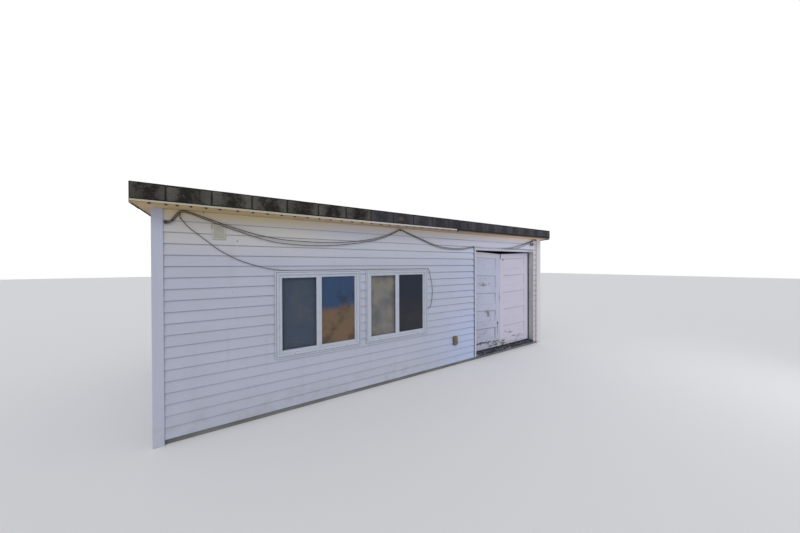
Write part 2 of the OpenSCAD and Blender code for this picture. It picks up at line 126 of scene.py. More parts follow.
SECOND_ROUTE = [
    (-3.500, 2.441), (-3.488, 2.441), (-3.468, 2.451), (-3.442, 2.480), (-3.419, 2.517), (-3.396, 2.551),
    (-3.362, 2.575),
    (-3.303, 2.563), (-3.230, 2.536), (-3.110, 2.490), (-2.975, 2.438), (-2.825, 2.388),
    (-2.650, 2.330), (-2.460, 2.282), (-2.300, 2.262), (-2.125, 2.252),
    (-1.925, 2.250), (-1.715, 2.258), (-1.415, 2.292), (-1.050, 2.358), (-0.800, 2.434),
    (-0.620, 2.514), (-0.520, 2.560), (-0.350, 2.506), (-0.160, 2.444), (0.130, 2.350),
    (0.365, 2.294), (0.690, 2.272), (0.985, 2.290), (1.235, 2.331), (1.980, 2.331),
    (2.300, 2.338), (2.555, 2.370), (2.860, 2.438), (3.240, 2.536), (3.345, 2.574),
    (3.400, 2.574),
]
LOWER_ROUTE = [
    (-3.391, 2.542), (-3.391, 2.527), (-3.384, 2.502), (-3.360, 2.466), (-3.320, 2.412), (-3.230, 2.330),
    (-3.140, 2.250), (-3.030, 2.155), (-2.830, 2.036), (-2.615, 1.958), (-2.480, 1.926), (-2.310, 1.903),
    (-1.690, 1.903), (0.028, 1.903), (0.066, 1.903), (0.094, 1.868), (0.128, 1.745), (0.160, 1.600),
    (0.165, 1.440), (0.148, 1.300), (0.120, 1.215), (0.095, 1.190), (0.072, 1.188), (0.051, 1.188),
]
# Each cable's piece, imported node, route, distance from the wall, radius and stiffness
CABLES = [
    ("cable_upper", "upper_cable", UPPER_ROUTE, CABLE_STAND_OFF, CABLE_RADIUS, "medium"),
    ("cable_second", "second_cable", SECOND_ROUTE, CABLE_STAND_OFF, CABLE_RADIUS, "medium"),
    ("wire_lower", "lower_wire", LOWER_ROUTE, WIRE_STAND_OFF, WIRE_RADIUS, "limp"),
]
STEPS_PER_SPAN = 6


def smooth_route(points):
    """Points along a smooth curve through the given ones, which keeps straight stretches straight."""
    found = []
    for i in range(len(points) - 1):
        a = points[max(i - 1, 0)]
        b, c = points[i], points[i + 1]
        d = points[min(i + 2, len(points) - 1)]
        span = (c - b).length
        enter = (c - a).normalized() * span
        leave = (d - b).normalized() * span
        for k in range(STEPS_PER_SPAN):
            t = k / STEPS_PER_SPAN
            found.append(
                (2 * t**3 - 3 * t**2 + 1) * b + (t**3 - 2 * t**2 + t) * enter
                + (3 * t**2 - 2 * t**3) * c + (t**3 - t**2) * leave)
    return found + [points[-1]]


def make_cable(name, node, route, y, radius, stiffness, look):
    points = smooth_route([Vector((x, y, z)) for x, z in route])
    data = bpy.data.curves.new(name, "CURVE")
    data.dimensions = "3D"
    data.bevel_depth = radius
    data.bevel_resolution = 3
    data.use_fill_caps = True
    spline = data.splines.new("POLY")
    spline.points.add(len(points) - 1)
    for spot, point in zip(spline.points, points):
        spot.co = (*point, 1)
    spline.use_smooth = True
    data.materials.append(look)
    cable = add_object(name, data)
    length = sum((b - a).length for a, b in zip(points, points[1:]))
    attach(cable, BUILDING)
    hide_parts(node)
    tuple(points[0])


# Meshes

SHARP_ANGLE = math.radians(35)
NEAR_ENOUGH = 0.002


def add_bevel(made, width):
    bevel = made.modifiers.new("edges", "BEVEL")
    bevel.width = width
    bevel.segments = 2
    bevel.limit_method = "ANGLE"
    bevel.angle_limit = SHARP_ANGLE
    bevel.use_clamp_overlap = True


def dress(node, look, bevel=0.0):
    """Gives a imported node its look, and rounds its edges."""
    made = NODES[node]
    made.data.materials.clear()
    made.data.materials.append(look)
    if bevel:
        add_bevel(made, bevel)


class Shape:
    """Collects closed solids, each with a material slot, a tone and, per point, how worn and how shaded it
    is painted, and makes one piece.
    """

    def __init__(self):
        self.points = []
        self.faces = []
        self.slots = []
        self.tones = []
        self.wear = []

    def add(self, points, faces, slot=0, tone=0.5, wear=None):
        start = len(self.points)
        self.points += [tuple(p) for p in points]
        self.wear += wear or [0.0] * len(points)
        for face in faces:
            self.faces.append([start + i for i in face])
            self.slots.append(slot)
            self.tones.append(tone)

    def prism(self, front, back, slot=0, tone=0.5):
        """A solid between two outlines that have the same number of points."""
        n = len(front)
        faces = [list(range(n)), list(range(2 * n - 1, n - 1, -1))]
        faces += [[(i + 1) % n, i, i + n, (i + 1) % n + n] for i in range(n)]
        self.add(list(front) + list(back), faces, slot, tone)

    def box(self, low, high, slot=0, tone=0.5):
        (x0, y0, z0), (x1, y1, z1) = low, high
        outline = [(x0, z0), (x1, z0), (x1, z1), (x0, z1)]
        self.prism([(x, y0, z) for x, z in outline], [(x, y1, z) for x, z in outline], slot, tone)

    def loft(self, loops, slot=0, tone=0.5, wear=None, ring=False):
        """A solid through loops of as many points each. In a ring, the last loop joins the first."""
        n, m = len(loops[0]), len(loops)
        faces = [] if ring else [list(range(n))[::-1], [(m - 1) * n + i for i in range(n)]]
        for k in range(m if ring else m - 1):
            for i in range(n):
                j, q = (i + 1) % n, (k + 1) % m
                faces.append([k * n + i, k * n + j, q * n + j, q * n + i])
        self.add([p for loop in loops for p in loop], faces, slot, tone, wear)

    def rod(self, start, end, radius, sides=10, slot=0):
        start, end = Vector(start), Vector(end)
        side = (end - start).normalized().orthogonal().normalized()
        up = (end - start).normalized().cross(side)
        self.loft([[centre + radius * (math.cos(a) * side + math.sin(a) * up) for a in turns(sides)]
                   for centre in (start, end)], slot)

    def piece(self, name, looks, body=BUILDING, replaces=(), slot=None, bevel=0.0, smooth=False):
        mesh = bpy.data.meshes.new(name)
        mesh.from_pydata(self.points, [], self.faces)
        mesh.validate()
        for look in looks:
            mesh.materials.append(look)
        mesh.polygons.foreach_set("material_index", self.slots)
        mesh.attributes.new("tone", "FLOAT", "FACE").data.foreach_set("value", self.tones)
        mesh.attributes.new("wear", "FLOAT", "POINT").data.foreach_set("value", self.wear)
        work = bmesh.new()
        work.from_mesh(mesh)
        bmesh.ops.recalc_face_normals(work, faces=work.faces)
        work.to_mesh(mesh)
        work.free()
        if smooth:
            mesh.polygons.foreach_set("use_smooth", [True] * len(mesh.polygons))
            mesh.set_sharp_from_angle(angle=SHARP_ANGLE)
        made = add_object(name, mesh)
        if bevel:
            add_bevel(made, bevel)
        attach(made, body)
        if replaces:
            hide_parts(*replaces)


def turns(count):
    """Angles evenly round a circle."""
    return [2 * math.pi * i / count for i in range(count)]


def heights_at(node, y):
    """The heights of a node's points near one distance y."""
    return [v.co.z for v in NODES[node].data.vertices if abs(v.co.y - y) < NEAR_ENOUGH]


# Looks: one material each, built from noise in the object's own coordinates

def give(tree, socket, value):
    """Links a socket to another one, or sets its own value."""
    if isinstance(value, bpy.types.NodeSocket):
        tree.links.new(value, socket)
    elif isinstance(value, tuple) and len(socket.default_value) == 4 and len(value) == 3:
        socket.default_value = (*value, 1)
    else:
        socket.default_value = value


def add_node(tree, kind, inputs, **settings):
    """A new node. inputs holds what goes to each socket, by its name or number."""
    made = tree.nodes.new("ShaderNode" + kind)
    for name, value in settings.items():
        setattr(made, name, value)
    for key, value in inputs.items():
        give(tree, made.inputs[key], value)
    return made


class Look:
    """A material under way. Its tint starts as a base colour, and other colours are laid over it."""

    def __init__(self, name, base, roughness=0.6, metallic=0.0, specular=0.5, alpha=1.0):
        self.material = bpy.data.materials.new(name)
        self.material.use_nodes = True
        self.tree = self.material.node_tree
        self.surface = self.tree.nodes["Principled BSDF"]
        for key, value in {"Roughness": roughness, "Metallic": metallic, "Specular IOR Level": specular,
                           "Alpha": alpha}.items():
            self.surface.inputs[key].default_value = value
        self.coordinates = self.node("TexCoord", {}).outputs["Object"]
        self.tint = base
        self.normal = None

    def node(self, kind, inputs, **settings):
        return add_node(self.tree, kind, inputs, **settings)

    def stretched(self, stretch):
        return self.node("Mapping", {"Vector": self.coordinates, "Scale": stretch}).outputs[0]

    def noise(self, scale, detail, rough=0.55, stretch=(1, 1, 1), twist=0.0):
        return self.node("TexNoise", {"Vector": self.stretched(stretch), "Scale": scale, "Detail": detail,
                                      "Roughness": rough, "Distortion": twist}).outputs["Fac"]

    def cells(self, scale, stretch=(1, 1, 1)):
        return self.node("TexVoronoi", {"Vector": self.stretched(stretch), "Scale": scale})

    def math(self, operation, *values):
        """One operation on two values, or on the result and each further value."""
        result = values[0]
        for value in values[1:] or (0.0,):
            result = self.node("Math", {0: result, 1: value}, operation=operation).outputs[0]
        return result

    def times(self, *values):
        return self.math("MULTIPLY", *values)

    def plus(self, *values):
        return self.math("ADD", *values)

    def minus(self, a, b):
        return self.math("SUBTRACT", a, b)

    def steps(self, value, low, high, start=0.0, end=1.0):
        """Runs smoothly from start to end as value goes from low to high."""
        inputs = dict(enumerate((value, low, high, start, end)))
        return self.node("MapRange", inputs, interpolation_type="SMOOTHSTEP").outputs[0]

    def mix(self, share, a, b):
        return self.node("Mix", {0: share, 6: a, 7: b}, data_type="RGBA").outputs[2]

    def stored(self, name):
        """What a piece's mesh keeps under a name: its tone, or how worn and how shaded it is painted."""
        return self.node("Attribute", {}, attribute_name=name).outputs["Fac"]

    def toned(self, end):
        """Runs from 0 to end with the tone of each solid of the piece."""
        return self.steps(self.stored("tone"), 0, 1, 0.0, end)

    def part(self, axis):
        return self.node("SeparateXYZ", {0: self.coordinates}).outputs[axis]

    def ramp(self, axis, low, high, start=0.0, end=1.0):
        """Runs smoothly from start to end along an axis."""
        return self.steps(self.part(axis), low, high, start, end)

    def patches(self, scale, detail, low, high, start=0.0, end=1.0, **options):
        """Soft patches of noise, from start outside them to end inside."""
        return self.steps(self.noise(scale, detail, **options), low, high, start, end)

    def near(self, x, z, half_w, half_h):
        """Falls from 1 at a spot on the front wall to 0 at the rim of an oval round it."""
        across = self.math("DIVIDE", self.minus(self.part("X"), x), half_w)
        up = self.math("DIVIDE", self.minus(self.part("Z"), z), half_h)
        square = self.plus(self.times(across, across), self.times(up, up))
        return self.minus(1.0, self.math("SQRT", square))

    def blend(self, axis, colour, *changes):
        """A colour that changes along an axis. Each change is (from where, to where, to which colour)."""
        for low, high, other in changes:
            colour = self.mix(self.ramp(axis, low, high), colour, other)
        return colour

    def over(self, colour, *shares):
        """Lays a colour over the tint, as strong as the product of the shares."""
        self.tint = self.mix(self.times(*shares) if len(shares) > 1 else shares[0], self.tint, colour)

    def bump(self, height, distance, strength):
        """Adds relief to the surface, on top of the relief it has."""
        inputs = {"Strength": strength, "Distance": distance, "Height": height}
        if self.normal is not None:
            inputs["Normal"] = self.normal
        self.normal = self.node("Bump", inputs).outputs[0]
        give(self.tree, self.surface.inputs["Normal"], self.normal)

    def pits(self, scale):
        """Fine pits all over."""
        self.bump(self.noise(scale, 3), 0.0006, 0.5)

    def done(self):
        give(self.tree, self.surface.inputs["Base Color"], self.tint)
        return self.material


def shade(colour, factor):
    """A colour made darker or brighter, up to white."""
    return tuple(min(1.0, c * factor) for c in colour)


def tinted(colour, *shares):
    """A colour with each of its three values changed on its own."""
    return tuple(c * share for c, share in zip(colour, shares))


# These whites are painted shade: darker and bluer than the real white vinyl and paint, as in the shade of a
# blue sky.
VINYL = (0.486, 0.505, 0.605)
WINDOW_WHITE = (0.50, 0.53, 0.62)
DOOR_WHITE = (0.492, 0.508, 0.640)
SPLASHED_DIRT = (0.33, 0.32, 0.27)
# Height of one siding course, and where the courses start
COURSE = 0.127
LAPS_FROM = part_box("front_siding")[0].z
# Stretch of a noise that makes it run along an axis
ALONG_X = (0.10, 1, 1)
ALONG_Y = (1, 0.10, 1)
UPRIGHT = (1, 1, 0.10)


def raise_grain(look, stretch):
    """The pressed grain of vinyl, and its slight waves."""
    look.bump(look.noise(30, 3, stretch=stretch), 0.0008, 0.35)
    look.bump(look.noise(2.2, 2), 0.004, 0.25)


def vinyl_look(name, base):
    """Satin vinyl with soft grime, streaks, fine specks and dirt near the ground."""
    look = Look(name, base, roughness=0.48, specular=0.35)
    look.over(shade(base, 0.90), look.patches(1.3, 5, 0.35, 0.70), 0.5)
    look.over(shade(base, 0.80), look.patches(9, 4, 0.50, 0.85, stretch=(1, 1, 0.08)), 0.35)
    look.over(shade(base, 0.78), look.toned(0.10))
    look.over(SPLASHED_DIRT, look.ramp("Z", 0.45, 0.05), look.patches(6, 5, 0.40, 0.75), 0.35)
    look.over((0.14, 0.12, 0.10), look.patches(34, 2, 0.755, 0.775, 0.0, 0.7))
    raise_grain(look, (0.12, 0.12, 1.6))
    return look


# Small dark marks on the front siding: x and height in metres, and their size
DARK_SPECKS = [(-3.182, 2.592), (-2.852, 2.270)]
SPECK_RADIUS = 0.012


def siding_look():
    """The siding: painted light makes it cooler to the right and low down, and warm and bright under the
    eave; painted shade, with some dirt, makes it dark under each lap.
    """
    look = vinyl_look("vinyl_siding", VINYL)
    front = look.ramp("Y", FRONT_Y + 0.060, FRONT_Y + 0.025)
    to_right = look.times(look.ramp("X", -0.4, 2.0), front)
    # Painted light: bluer towards the right and low down, for the blue sky light there.
    look.over(tinted(VINYL, 0.97, 1.05, 1.24), to_right, 0.7)
    look.over(tinted(VINYL, 0.93, 1.08, 1.36), to_right, look.ramp("Z", 1.3, 0.3, 0.0, 0.7))
    # Painted light: warmer and brighter under the eave, against the eave's shade and as warm bounce light,
    # yellow at the left end.
    eave_painted_light = look.blend("X", tinted(VINYL, 1.20, 1.10, 0.84),
                            (-3.2, -2.2, tinted(VINYL, 1.34, 1.23, 0.95)),
                            (-2.2, -1.4, tinted(VINYL, 1.22, 1.19, 1.09)),
                            (-0.6, 2.6, tinted(VINYL, 1.42, 1.38, 1.37)))
    look.over(eave_painted_light, look.ramp("Z", 1.95, 2.50, 0.0, 0.85), front)
    # Painted light: warm bounce light on the top course, yellow at the left and pink at the right.
    top_row_painted_light = look.blend("X", (0.665, 0.570, 0.375), (-3.0, -1.4, (0.700, 0.630, 0.560)),
                         (-1.2, 0.8, (0.715, 0.645, 0.595)), (1.0, 3.0, (0.820, 0.735, 0.720)))
    look.over(top_row_painted_light, look.ramp("Z", 2.470, 2.580), front)
    # Painted light: a warm pinkish tint, lighter in its middle, on the narrow strip of siding right of the
    # doorway.
    look.over((0.560, 0.505, 0.500), look.ramp("X", 3.34, 3.40), front, 0.85)
    strip_painted_light = look.times(look.ramp("X", 3.326, 3.336), look.ramp("X", 3.402, 3.392), front, 0.6)
    look.over((0.740, 0.680, 0.760), strip_painted_light)
    # Painted shadow: a dark line down the ends of the courses beside the right post, darker lower down.
    post_painted_shadow = look.times(look.ramp("X", 3.400, 3.408), look.ramp("X", 3.438, 3.430),
                           look.ramp("Z", 2.45, 1.00, 0.10, 0.75), front)
    look.over((0.075, 0.052, 0.052), post_painted_shadow)
    for x, z in DARK_SPECKS:
        mark = look.steps(look.near(x, z, SPECK_RADIUS, SPECK_RADIUS), 0.0, 0.5, 0.0, 0.7)
        look.over((0.09, 0.08, 0.08), mark, front)
    # Painted shade under each lap, with some dirt: a line at the top of each course, under the butt above,
    # brown at the left and blue to the right, and a darker foot on each course. Both are fainter high up
    # above the doorway and further right.
    share = look.math("FRACT", look.math("DIVIDE", look.minus(look.part("Z"), LAPS_FROM), COURSE))
    reach = look.plus(share, look.times(look.noise(14, 4), 0.03), look.times(to_right, 0.030))
    clean = look.times(look.ramp("X", 0.6, 1.4), look.ramp("Z", 2.25, 2.40, 0.0, 0.65))
    lap_shade_share = look.minus(1.0, clean)
    strength = look.times(look.plus(0.52, look.times(to_right, 0.38)), lap_shade_share)
    lap_shade_tone = look.mix(to_right, (0.145, 0.122, 0.100), (0.095, 0.100, 0.165))
    look.over(lap_shade_tone, look.steps(reach, 0.960, 0.985), strength)
    edge = look.times(look.plus(0.28, look.times(to_right, 0.40)), lap_shade_share)
    look.over(shade(VINYL, 0.45), look.steps(share, 0.055, 0.015), edge)
    return look.done()


def post_look():
    """Vinyl posts: the cool white of the siding at the left end, and at the right a brighter and warmer
    white that is painted light.
    """
    look = Look("vinyl_posts", VINYL, roughness=0.48, specular=0.35)
    # Painted light: brighter and warmer towards the right, for the stronger light there.
    look.over((0.660, 0.640, 0.650), look.ramp("X", -1.0, 1.0))
    look.over(shade(VINYL, 0.80), look.patches(9, 4, 0.45, 0.85, 0.0, 0.45, stretch=(1, 1, 0.08)))
    splash = look.times(look.ramp("Z", 0.45, 0.05), look.patches(6, 5, 0.40, 0.75, 0.0, 0.35))
    look.over(SPLASHED_DIRT, splash)
    raise_grain(look, UPRIGHT)
    return look.done()


def doorway_trim_look():
    """White trim, with painted shade as a ragged near-black line in the open pocket of its channel on the
    side where the siding runs in.
    """
    low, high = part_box("doorway_trim")
    base = shade(VINYL, 1.10)
    look = Look("doorway_vinyl", base, roughness=0.45, specular=0.35)
    look.over(shade(base, 0.82), look.patches(5, 5, 0.40, 0.72, 0.0, 0.4))
    look.over((0.400, 0.395, 0.415), look.ramp("X", high.x - 0.30, high.x - 0.15, 0.0, 0.75))
    # Painted shade: a ragged near-black line in the channel's pocket along the trim's left edge.
    ragged = look.patches(16, 4, 0.30, 0.50, 0.55, 0.95)
    look.over((0.045, 0.045, 0.065), look.ramp("X", low.x + 0.0025, low.x + 0.0012), ragged)
    look.bump(look.noise(30, 3, stretch=UPRIGHT), 0.0008, 0.35)
    return look.done()


def plain_look(name, base, roughness=0.5, wear=0.15, scale=12.0, metallic=0.0):
    """Paint, metal or plastic with soft blotches and fine pits."""
    look = Look(name, base, roughness, metallic)
    look.over(shade(base, 1 - wear), look.patches(scale, 5, 0.35, 0.72))
    look.over(shade(base, 0.5), look.patches(scale * 9, 3, 0.62, 0.72), wear)
    look.pits(scale * 14)
    return look.done()


def fascia_look():
    """A raw board, yellowish at the left end and a dull grey pink at the right one."""
    look = Look("fascia_board", (0.400, 0.300, 0.158), roughness=0.8)
    look.over((0.200, 0.160, 0.138), look.ramp("X", -2.2, 1.8))
    look.over((0.150, 0.105, 0.060), look.patches(9, 5, 0.35, 0.72, 0.0, 0.35))
    look.over((0.060, 0.055, 0.055), look.ramp("X", 3.28, 3.36))
    look.bump(look.noise(40, 4, stretch=ALONG_X), 0.001, 0.5)
    return look.done()


def strip_look():
    """White paint on metal: creamy at the old left end, clean at the right one."""
    look = Look("strip_metal", (0.46, 0.41, 0.33), roughness=0.4)
    look.over((0.60, 0.57, 0.59), look.ramp("X", -3.0, 0.3))
    look.over((0.30, 0.26, 0.21), look.patches(14, 5, 0.50, 0.75, 0.0, 0.25))
    look.pits(160)
    return look.done()


def soffit_look():
    """Old tan paint on boards, duller in the middle, with painted light and shade: a brighter orange-pink at
    the right as warm bounce light, and painted shade along the front edge and past the right end.
    """
    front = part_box("soffit")[0].y
    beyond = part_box("right_end_siding")[1].x
    look = Look("soffit_paint", (0.585, 0.430, 0.235), roughness=0.75)
    look.over((0.455, 0.345, 0.250), look.ramp("X", -3.0, -0.6))
    # Painted light: a brighter orange-pink at the right, as warm bounce light.
    look.over((0.800, 0.565, 0.405), look.ramp("X", 0.6, 3.0))
    look.over((0.36, 0.28, 0.20), look.patches(5, 5, 0.35, 0.72, 0.0, 0.20))
    # Painted shade: darker along the front edge, ragged and more so to the left, a near-black line right at
    # the front, and dark grey past the right end of the wall.
    ragged = look.plus(look.part("Y"), look.times(look.noise(9, 4), 0.04))
    edge = look.steps(ragged, front + 0.075, front + 0.012, 0.0, 0.85)
    look.over((0.180, 0.140, 0.120), edge, look.ramp("X", 0.8, 2.6, 1.0, 0.55))
    look.over((0.085, 0.072, 0.068), look.ramp("Y", front + 0.006, front + 0.002, 0.0, 0.9))
    look.over((0.075, 0.070, 0.072), look.ramp("X", beyond, beyond + 0.03, 0.0, 0.9))
    look.pits(70)
    return look.done()


def lining_look():
    """Painted metal, grey at its front edge, with painted light: lighter deeper in, against the shade that
    falls there, and lighter higher up.
    """
    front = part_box("doorway_lining")[0].y
    look = Look("lining_metal", (0.490, 0.470, 0.475), roughness=0.55)
    # Painted light: lighter deeper into the doorway, against the shade there, and lighter higher up.
    look.over((0.760, 0.735, 0.755), look.ramp("Y", front + 0.015, front + 0.090))
    look.over((0.480, 0.460, 0.470), look.patches(6, 5, 0.35, 0.72, 0.0, 0.6))
    look.over((0.720, 0.700, 0.730), look.ramp("Z", 1.5, 2.25, 0.0, 0.5))
    look.pits(160)
    return look.done()


def concrete_look():
    """Grey concrete, darker in patches, with a few pale grains."""
    base = (0.22, 0.22, 0.225)
    look = Look("slab_concrete", base, roughness=0.9, specular=0.25)
    look.over(shade(base, 0.72), look.patches(3, 6, 0.3, 0.7))
    look.over(shade(base, 1.3), look.patches(60, 3, 0.60, 0.72, 0.0, 0.5))
    look.bump(look.noise(45, 5), 0.003, 0.6)
    return look.done()


def fibrous(name, base, dark, grain):
    """Bare wood with its fibres along an axis: the look under way, and the fibres."""
    look = Look(name, base, roughness=0.75, specular=0.25)
    fibres = look.noise(38, 6, 0.65, stretch=grain, twist=0.4)
    look.over(dark, look.steps(fibres, 0.35, 0.70))
    return look, fibres


def wood_look(name, base, dark, grain=ALONG_X, weathered=False):
    """Bare wood, a little patchy. Weathered wood is cracked and keeps flecks of old paint."""
    look, fibres = fibrous(name, base, dark, grain)
    look.over(shade(dark, 0.85), look.patches(5, 3, 0.4, 0.75, 0.0, 0.55, stretch=grain))
    look.over(shade(base, 0.6), look.toned(0.35))
    if weathered:
        split = look.patches(16, 2, 0.66, 0.70, rough=0.5, stretch=(0.035, 1.6, 1.6))
        look.over(shade(dark, 0.25), split, 0.9)
        look.bump(look.minus(1.0, split), 0.004, 0.8)
        old_paint = look.patches(26, 4, 0.56, 0.62, rough=0.65, stretch=(0.4, 1.5, 1.5))
        look.over((0.330, 0.345, 0.420), old_paint, 0.75)
    look.bump(fibres, 0.0015, 0.6)
    return look.done()


def roof_wood_look():
    """Rafters and boards, pale inside and grey with weather along the outer edges."""
    low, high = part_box("roof_deck")
    pale = (0.40, 0.29, 0.18)
    look, fibres = fibrous("roof_timber", pale, shade(pale, 0.58), ALONG_Y)
    for axis, edge, inwards in (("X", low.x, 1), ("X", high.x, -1), ("Y", low.y, 1), ("Y", high.y, -1)):
        outer = look.ramp(axis, edge + 0.03 * inwards, edge + 0.01 * inwards, 0.0, 0.95)
        look.over((0.070, 0.062, 0.060), outer)
    look.bump(fibres, 0.0015, 0.6)
    return look.done()


# A rusty stain on the front band: x and height in metres, half width, half height
ROOF_STAIN = (-0.600, 2.722, 0.075, 0.045)


def shingle_look(name, base, washed, moss_share=0.85):
    """Mineral granules on felt: pale where rain washes them, with dark mottled moss in the middles and
    near-black painted shade at the joints and edges.
    """
    look = Look(name, base, roughness=0.93, specular=0.2)
    pale = look.steps(look.times(look.stored("wear"), -1.0), 0.0, 0.9)
    uneven = look.patches(6, 5, 0.36, 0.64, rough=0.65)
    look.over(washed, look.plus(pale, uneven), 0.5)
    granules = look.node("SeparateColor", {0: look.cells(420).outputs["Color"]}).outputs
    look.over(shade(washed, 1.5), look.steps(granules[0], 0.45, 1.0, 0.0, 0.55))
    look.over(shade(base, 0.4), look.steps(granules[1], 0.55, 1.0, 0.0, 0.6))
    look.over(shade(base, 0.55), look.toned(0.40))
    blotches = look.plus(look.times(look.noise(11, 6, 0.7), 0.7), look.times(look.noise(38, 5, 0.7), 0.3))
    moss = look.steps(look.minus(blotches, look.times(pale, 0.15)), 0.40, 0.53, 0.0, moss_share)
    look.over(shade(base, 0.28), moss)
    look.over(shade(washed, 1.6), look.patches(26, 4, 0.62, 0.70, 0.0, 0.5, rough=0.6))
    # Painted shade: near-black along the joints and the lower and upper edges of the band pieces, and on
    # their backs.
    look.over(shade(base, 0.08), look.steps(look.stored("wear"), 0.2, 1.0, 0.0, 0.93))
    look.over((0.185, 0.140, 0.100), look.steps(look.near(*ROOF_STAIN), 0.0, 0.75, 0.0, 0.38))
    look.bump(granules[2], 0.0012, 0.7)
    look.bump(look.noise(20, 3), 0.004, 0.35)
    return look.done()


# Worn places on the door leaves: x and height in metres, half width, half height, strength
WORN_SPOTS = [
    (1.640, 1.545, 0.400, 0.075, 0.72), (1.760, 1.690, 0.280, 0.070, 0.50),
    (1.820, 0.890, 0.240, 0.190, 0.74), (1.680, 0.690, 0.340, 0.080, 0.50),
    (1.560, 1.160, 0.320, 0.120, 0.48), (1.600, 0.450, 0.360, 0.120, 0.55),
    (1.560, 0.270, 0.420, 0.040, 1.15), (1.800, 0.262, 0.260, 0.050, 0.90),
    (1.900, 0.200, 0.240, 0.120, 0.80), (2.020, 0.200, 0.260, 0.150, 0.86),
    (2.270, 0.190, 0.240, 0.140, 0.84),
    (2.100, 0.640, 0.034, 0.160, 0.95), (2.100, 0.480, 0.030, 0.130, 0.90),
    (2.165, 1.250, 0.030, 0.180, 0.75), (2.290, 2.085, 0.050, 0.040, 1.00),
    (2.500, 0.400, 0.320, 0.100, 0.55), (2.850, 0.260, 0.400, 0.100, 0.60),
    (2.700, 0.620, 0.360, 0.090, 0.48), (2.600, 0.160, 0.560, 0.060, 0.66),
]
# How strongly a worn place helps the paint to flake
SPOT_PULL = 0.21
# Where rotten pale wood shows: x and height in metres, half width, half height
ROT_SPOT = (2.14, 0.10, 0.30, 0.22)


def door_look(name, grain):
    """Old white paint on wood: brush marks, fine cracks, painted shade with some dirt along the panels'
    edges, and flaked places.
    """
    look = Look(name, DOOR_WHITE, roughness=0.62, specular=0.3)
    worn = look.times(look.patches(4, 4, 0.50, 0.80), 0.30)
    for x, z, half_w, half_h, strength in WORN_SPOTS:
        spot = look.steps(look.near(x, z, half_w, half_h), -0.35, 0.85, 0.0, strength)
        worn = look.math("MAXIMUM", worn, spot)
    chips = look.noise(66, 7, 0.72, stretch=(0.30, 1, 1))
    sheets = look.noise(22, 5, 0.62, stretch=(0.35, 1, 1))
    ragged = look.plus(look.times(chips, 0.58), look.times(sheets, 0.42))
    pulled = look.plus(ragged, look.times(worn, SPOT_PULL))
    bare = look.steps(pulled, 0.668, 0.692)
    lifted = look.steps(pulled, 0.618, 0.668)
    fibres = look.noise(55, 5, 0.65, stretch=grain)
    dry = look.mix(look.steps(look.near(*ROT_SPOT), 0.0, 0.4), (0.170, 0.155, 0.150), (0.400, 0.350, 0.240))
    wood = look.mix(look.patches(13, 5, 0.42, 0.62, rough=0.7), (0.085, 0.080, 0.085), dry)
    wood = look.mix(look.steps(fibres, 0.35, 0.60, 0.0, 0.75), wood, (0.034, 0.030, 0.032))
    look.over(shade(DOOR_WHITE, 0.90), look.patches(3.0, 5, 0.40, 0.72))
    look.over((0.645, 0.592, 0.690), look.ramp("X", 2.10, 2.24, 0.0, 0.6))
    look.over(shade(DOOR_WHITE, 0.78), look.ramp("X", 2.0, 1.6), look.ramp("Z", 1.2, 0.4), 0.5)
    look.over((0.590, 0.555, 0.630), look.ramp("X", 2.3, 1.9), look.ramp("Z", 2.08, 2.16))
    look.over((0.46, 0.40, 0.38), look.patches(8, 5, 0.58, 0.78), 0.18)
    look.over((0.30, 0.29, 0.31), lifted, 0.35)
    look.over(shade(DOOR_WHITE, 0.50), look.patches(60, 3, 0.66, 0.70, stretch=grain), 0.22)
    look.over(wood, bare)
    # Painted shade with some dirt: blue-grey along the panels' sunk edges, strongest along their tops.
    look.over((0.110, 0.100, 0.120), look.steps(look.stored("wear"), 0.05, 1.0, 0.0, 0.85))
    look.bump(look.minus(1.0, bare), 0.0015, 0.9)
    look.bump(fibres, 0.0006, 0.5)
    return look.done()


def glass_look():
    """Dark panes with painted reflections: cool above, warm below, and nearly black further right."""
    look = Look("window_glass", (0.190, 0.118, 0.066), roughness=0.03, alpha=0.86)
    # Painted reflections: blue above a wavy line and brown below, darker patches, and nearly black on the
    # panes further right. They stand for what the panes reflect.
    uneven = look.times(look.minus(look.noise(3.0, 4), 0.5), 0.45)
    look.over((0.026, 0.066, 0.158), look.steps(look.plus(look.part("Z"), uneven), 1.22, 1.42))
    look.over((0.014, 0.018, 0.026), look.patches(5, 4, 0.45, 0.70, 0.0, 0.55))
    look.over((0.004, 0.009, 0.025), look.ramp("X", -0.75, -0.50, 0.0, 0.92))
    look.bump(look.noise(1.6, 1), 0.002, 0.15)
    return look.done()


def screen_look():
    """Fine grey mesh, which dulls what shows through it, with pale painted reflections on the screen further
    right.
    """
    look = Look("screen_mesh", (0.095, 0.128, 0.190), roughness=0.85, specular=0.15, alpha=0.72)
    look.over((0.130, 0.150, 0.185), look.patches(3, 3, 0.35, 0.7))
    # Painted reflection: pale patches on the screen further right.
    painted_reflection = look.times(look.ramp("X", -1.30, -1.00), look.patches(4, 4, 0.30, 0.62, 0.35, 0.85))
    look.over((0.430, 0.390, 0.330), painted_reflection)
    threads = look.cells(330, stretch=(1, 0, 1)).outputs["Distance"]
    look.over((0.030, 0.036, 0.050), look.steps(threads, 0.2, 0.6, 0.0, 0.3))
    return look.done()


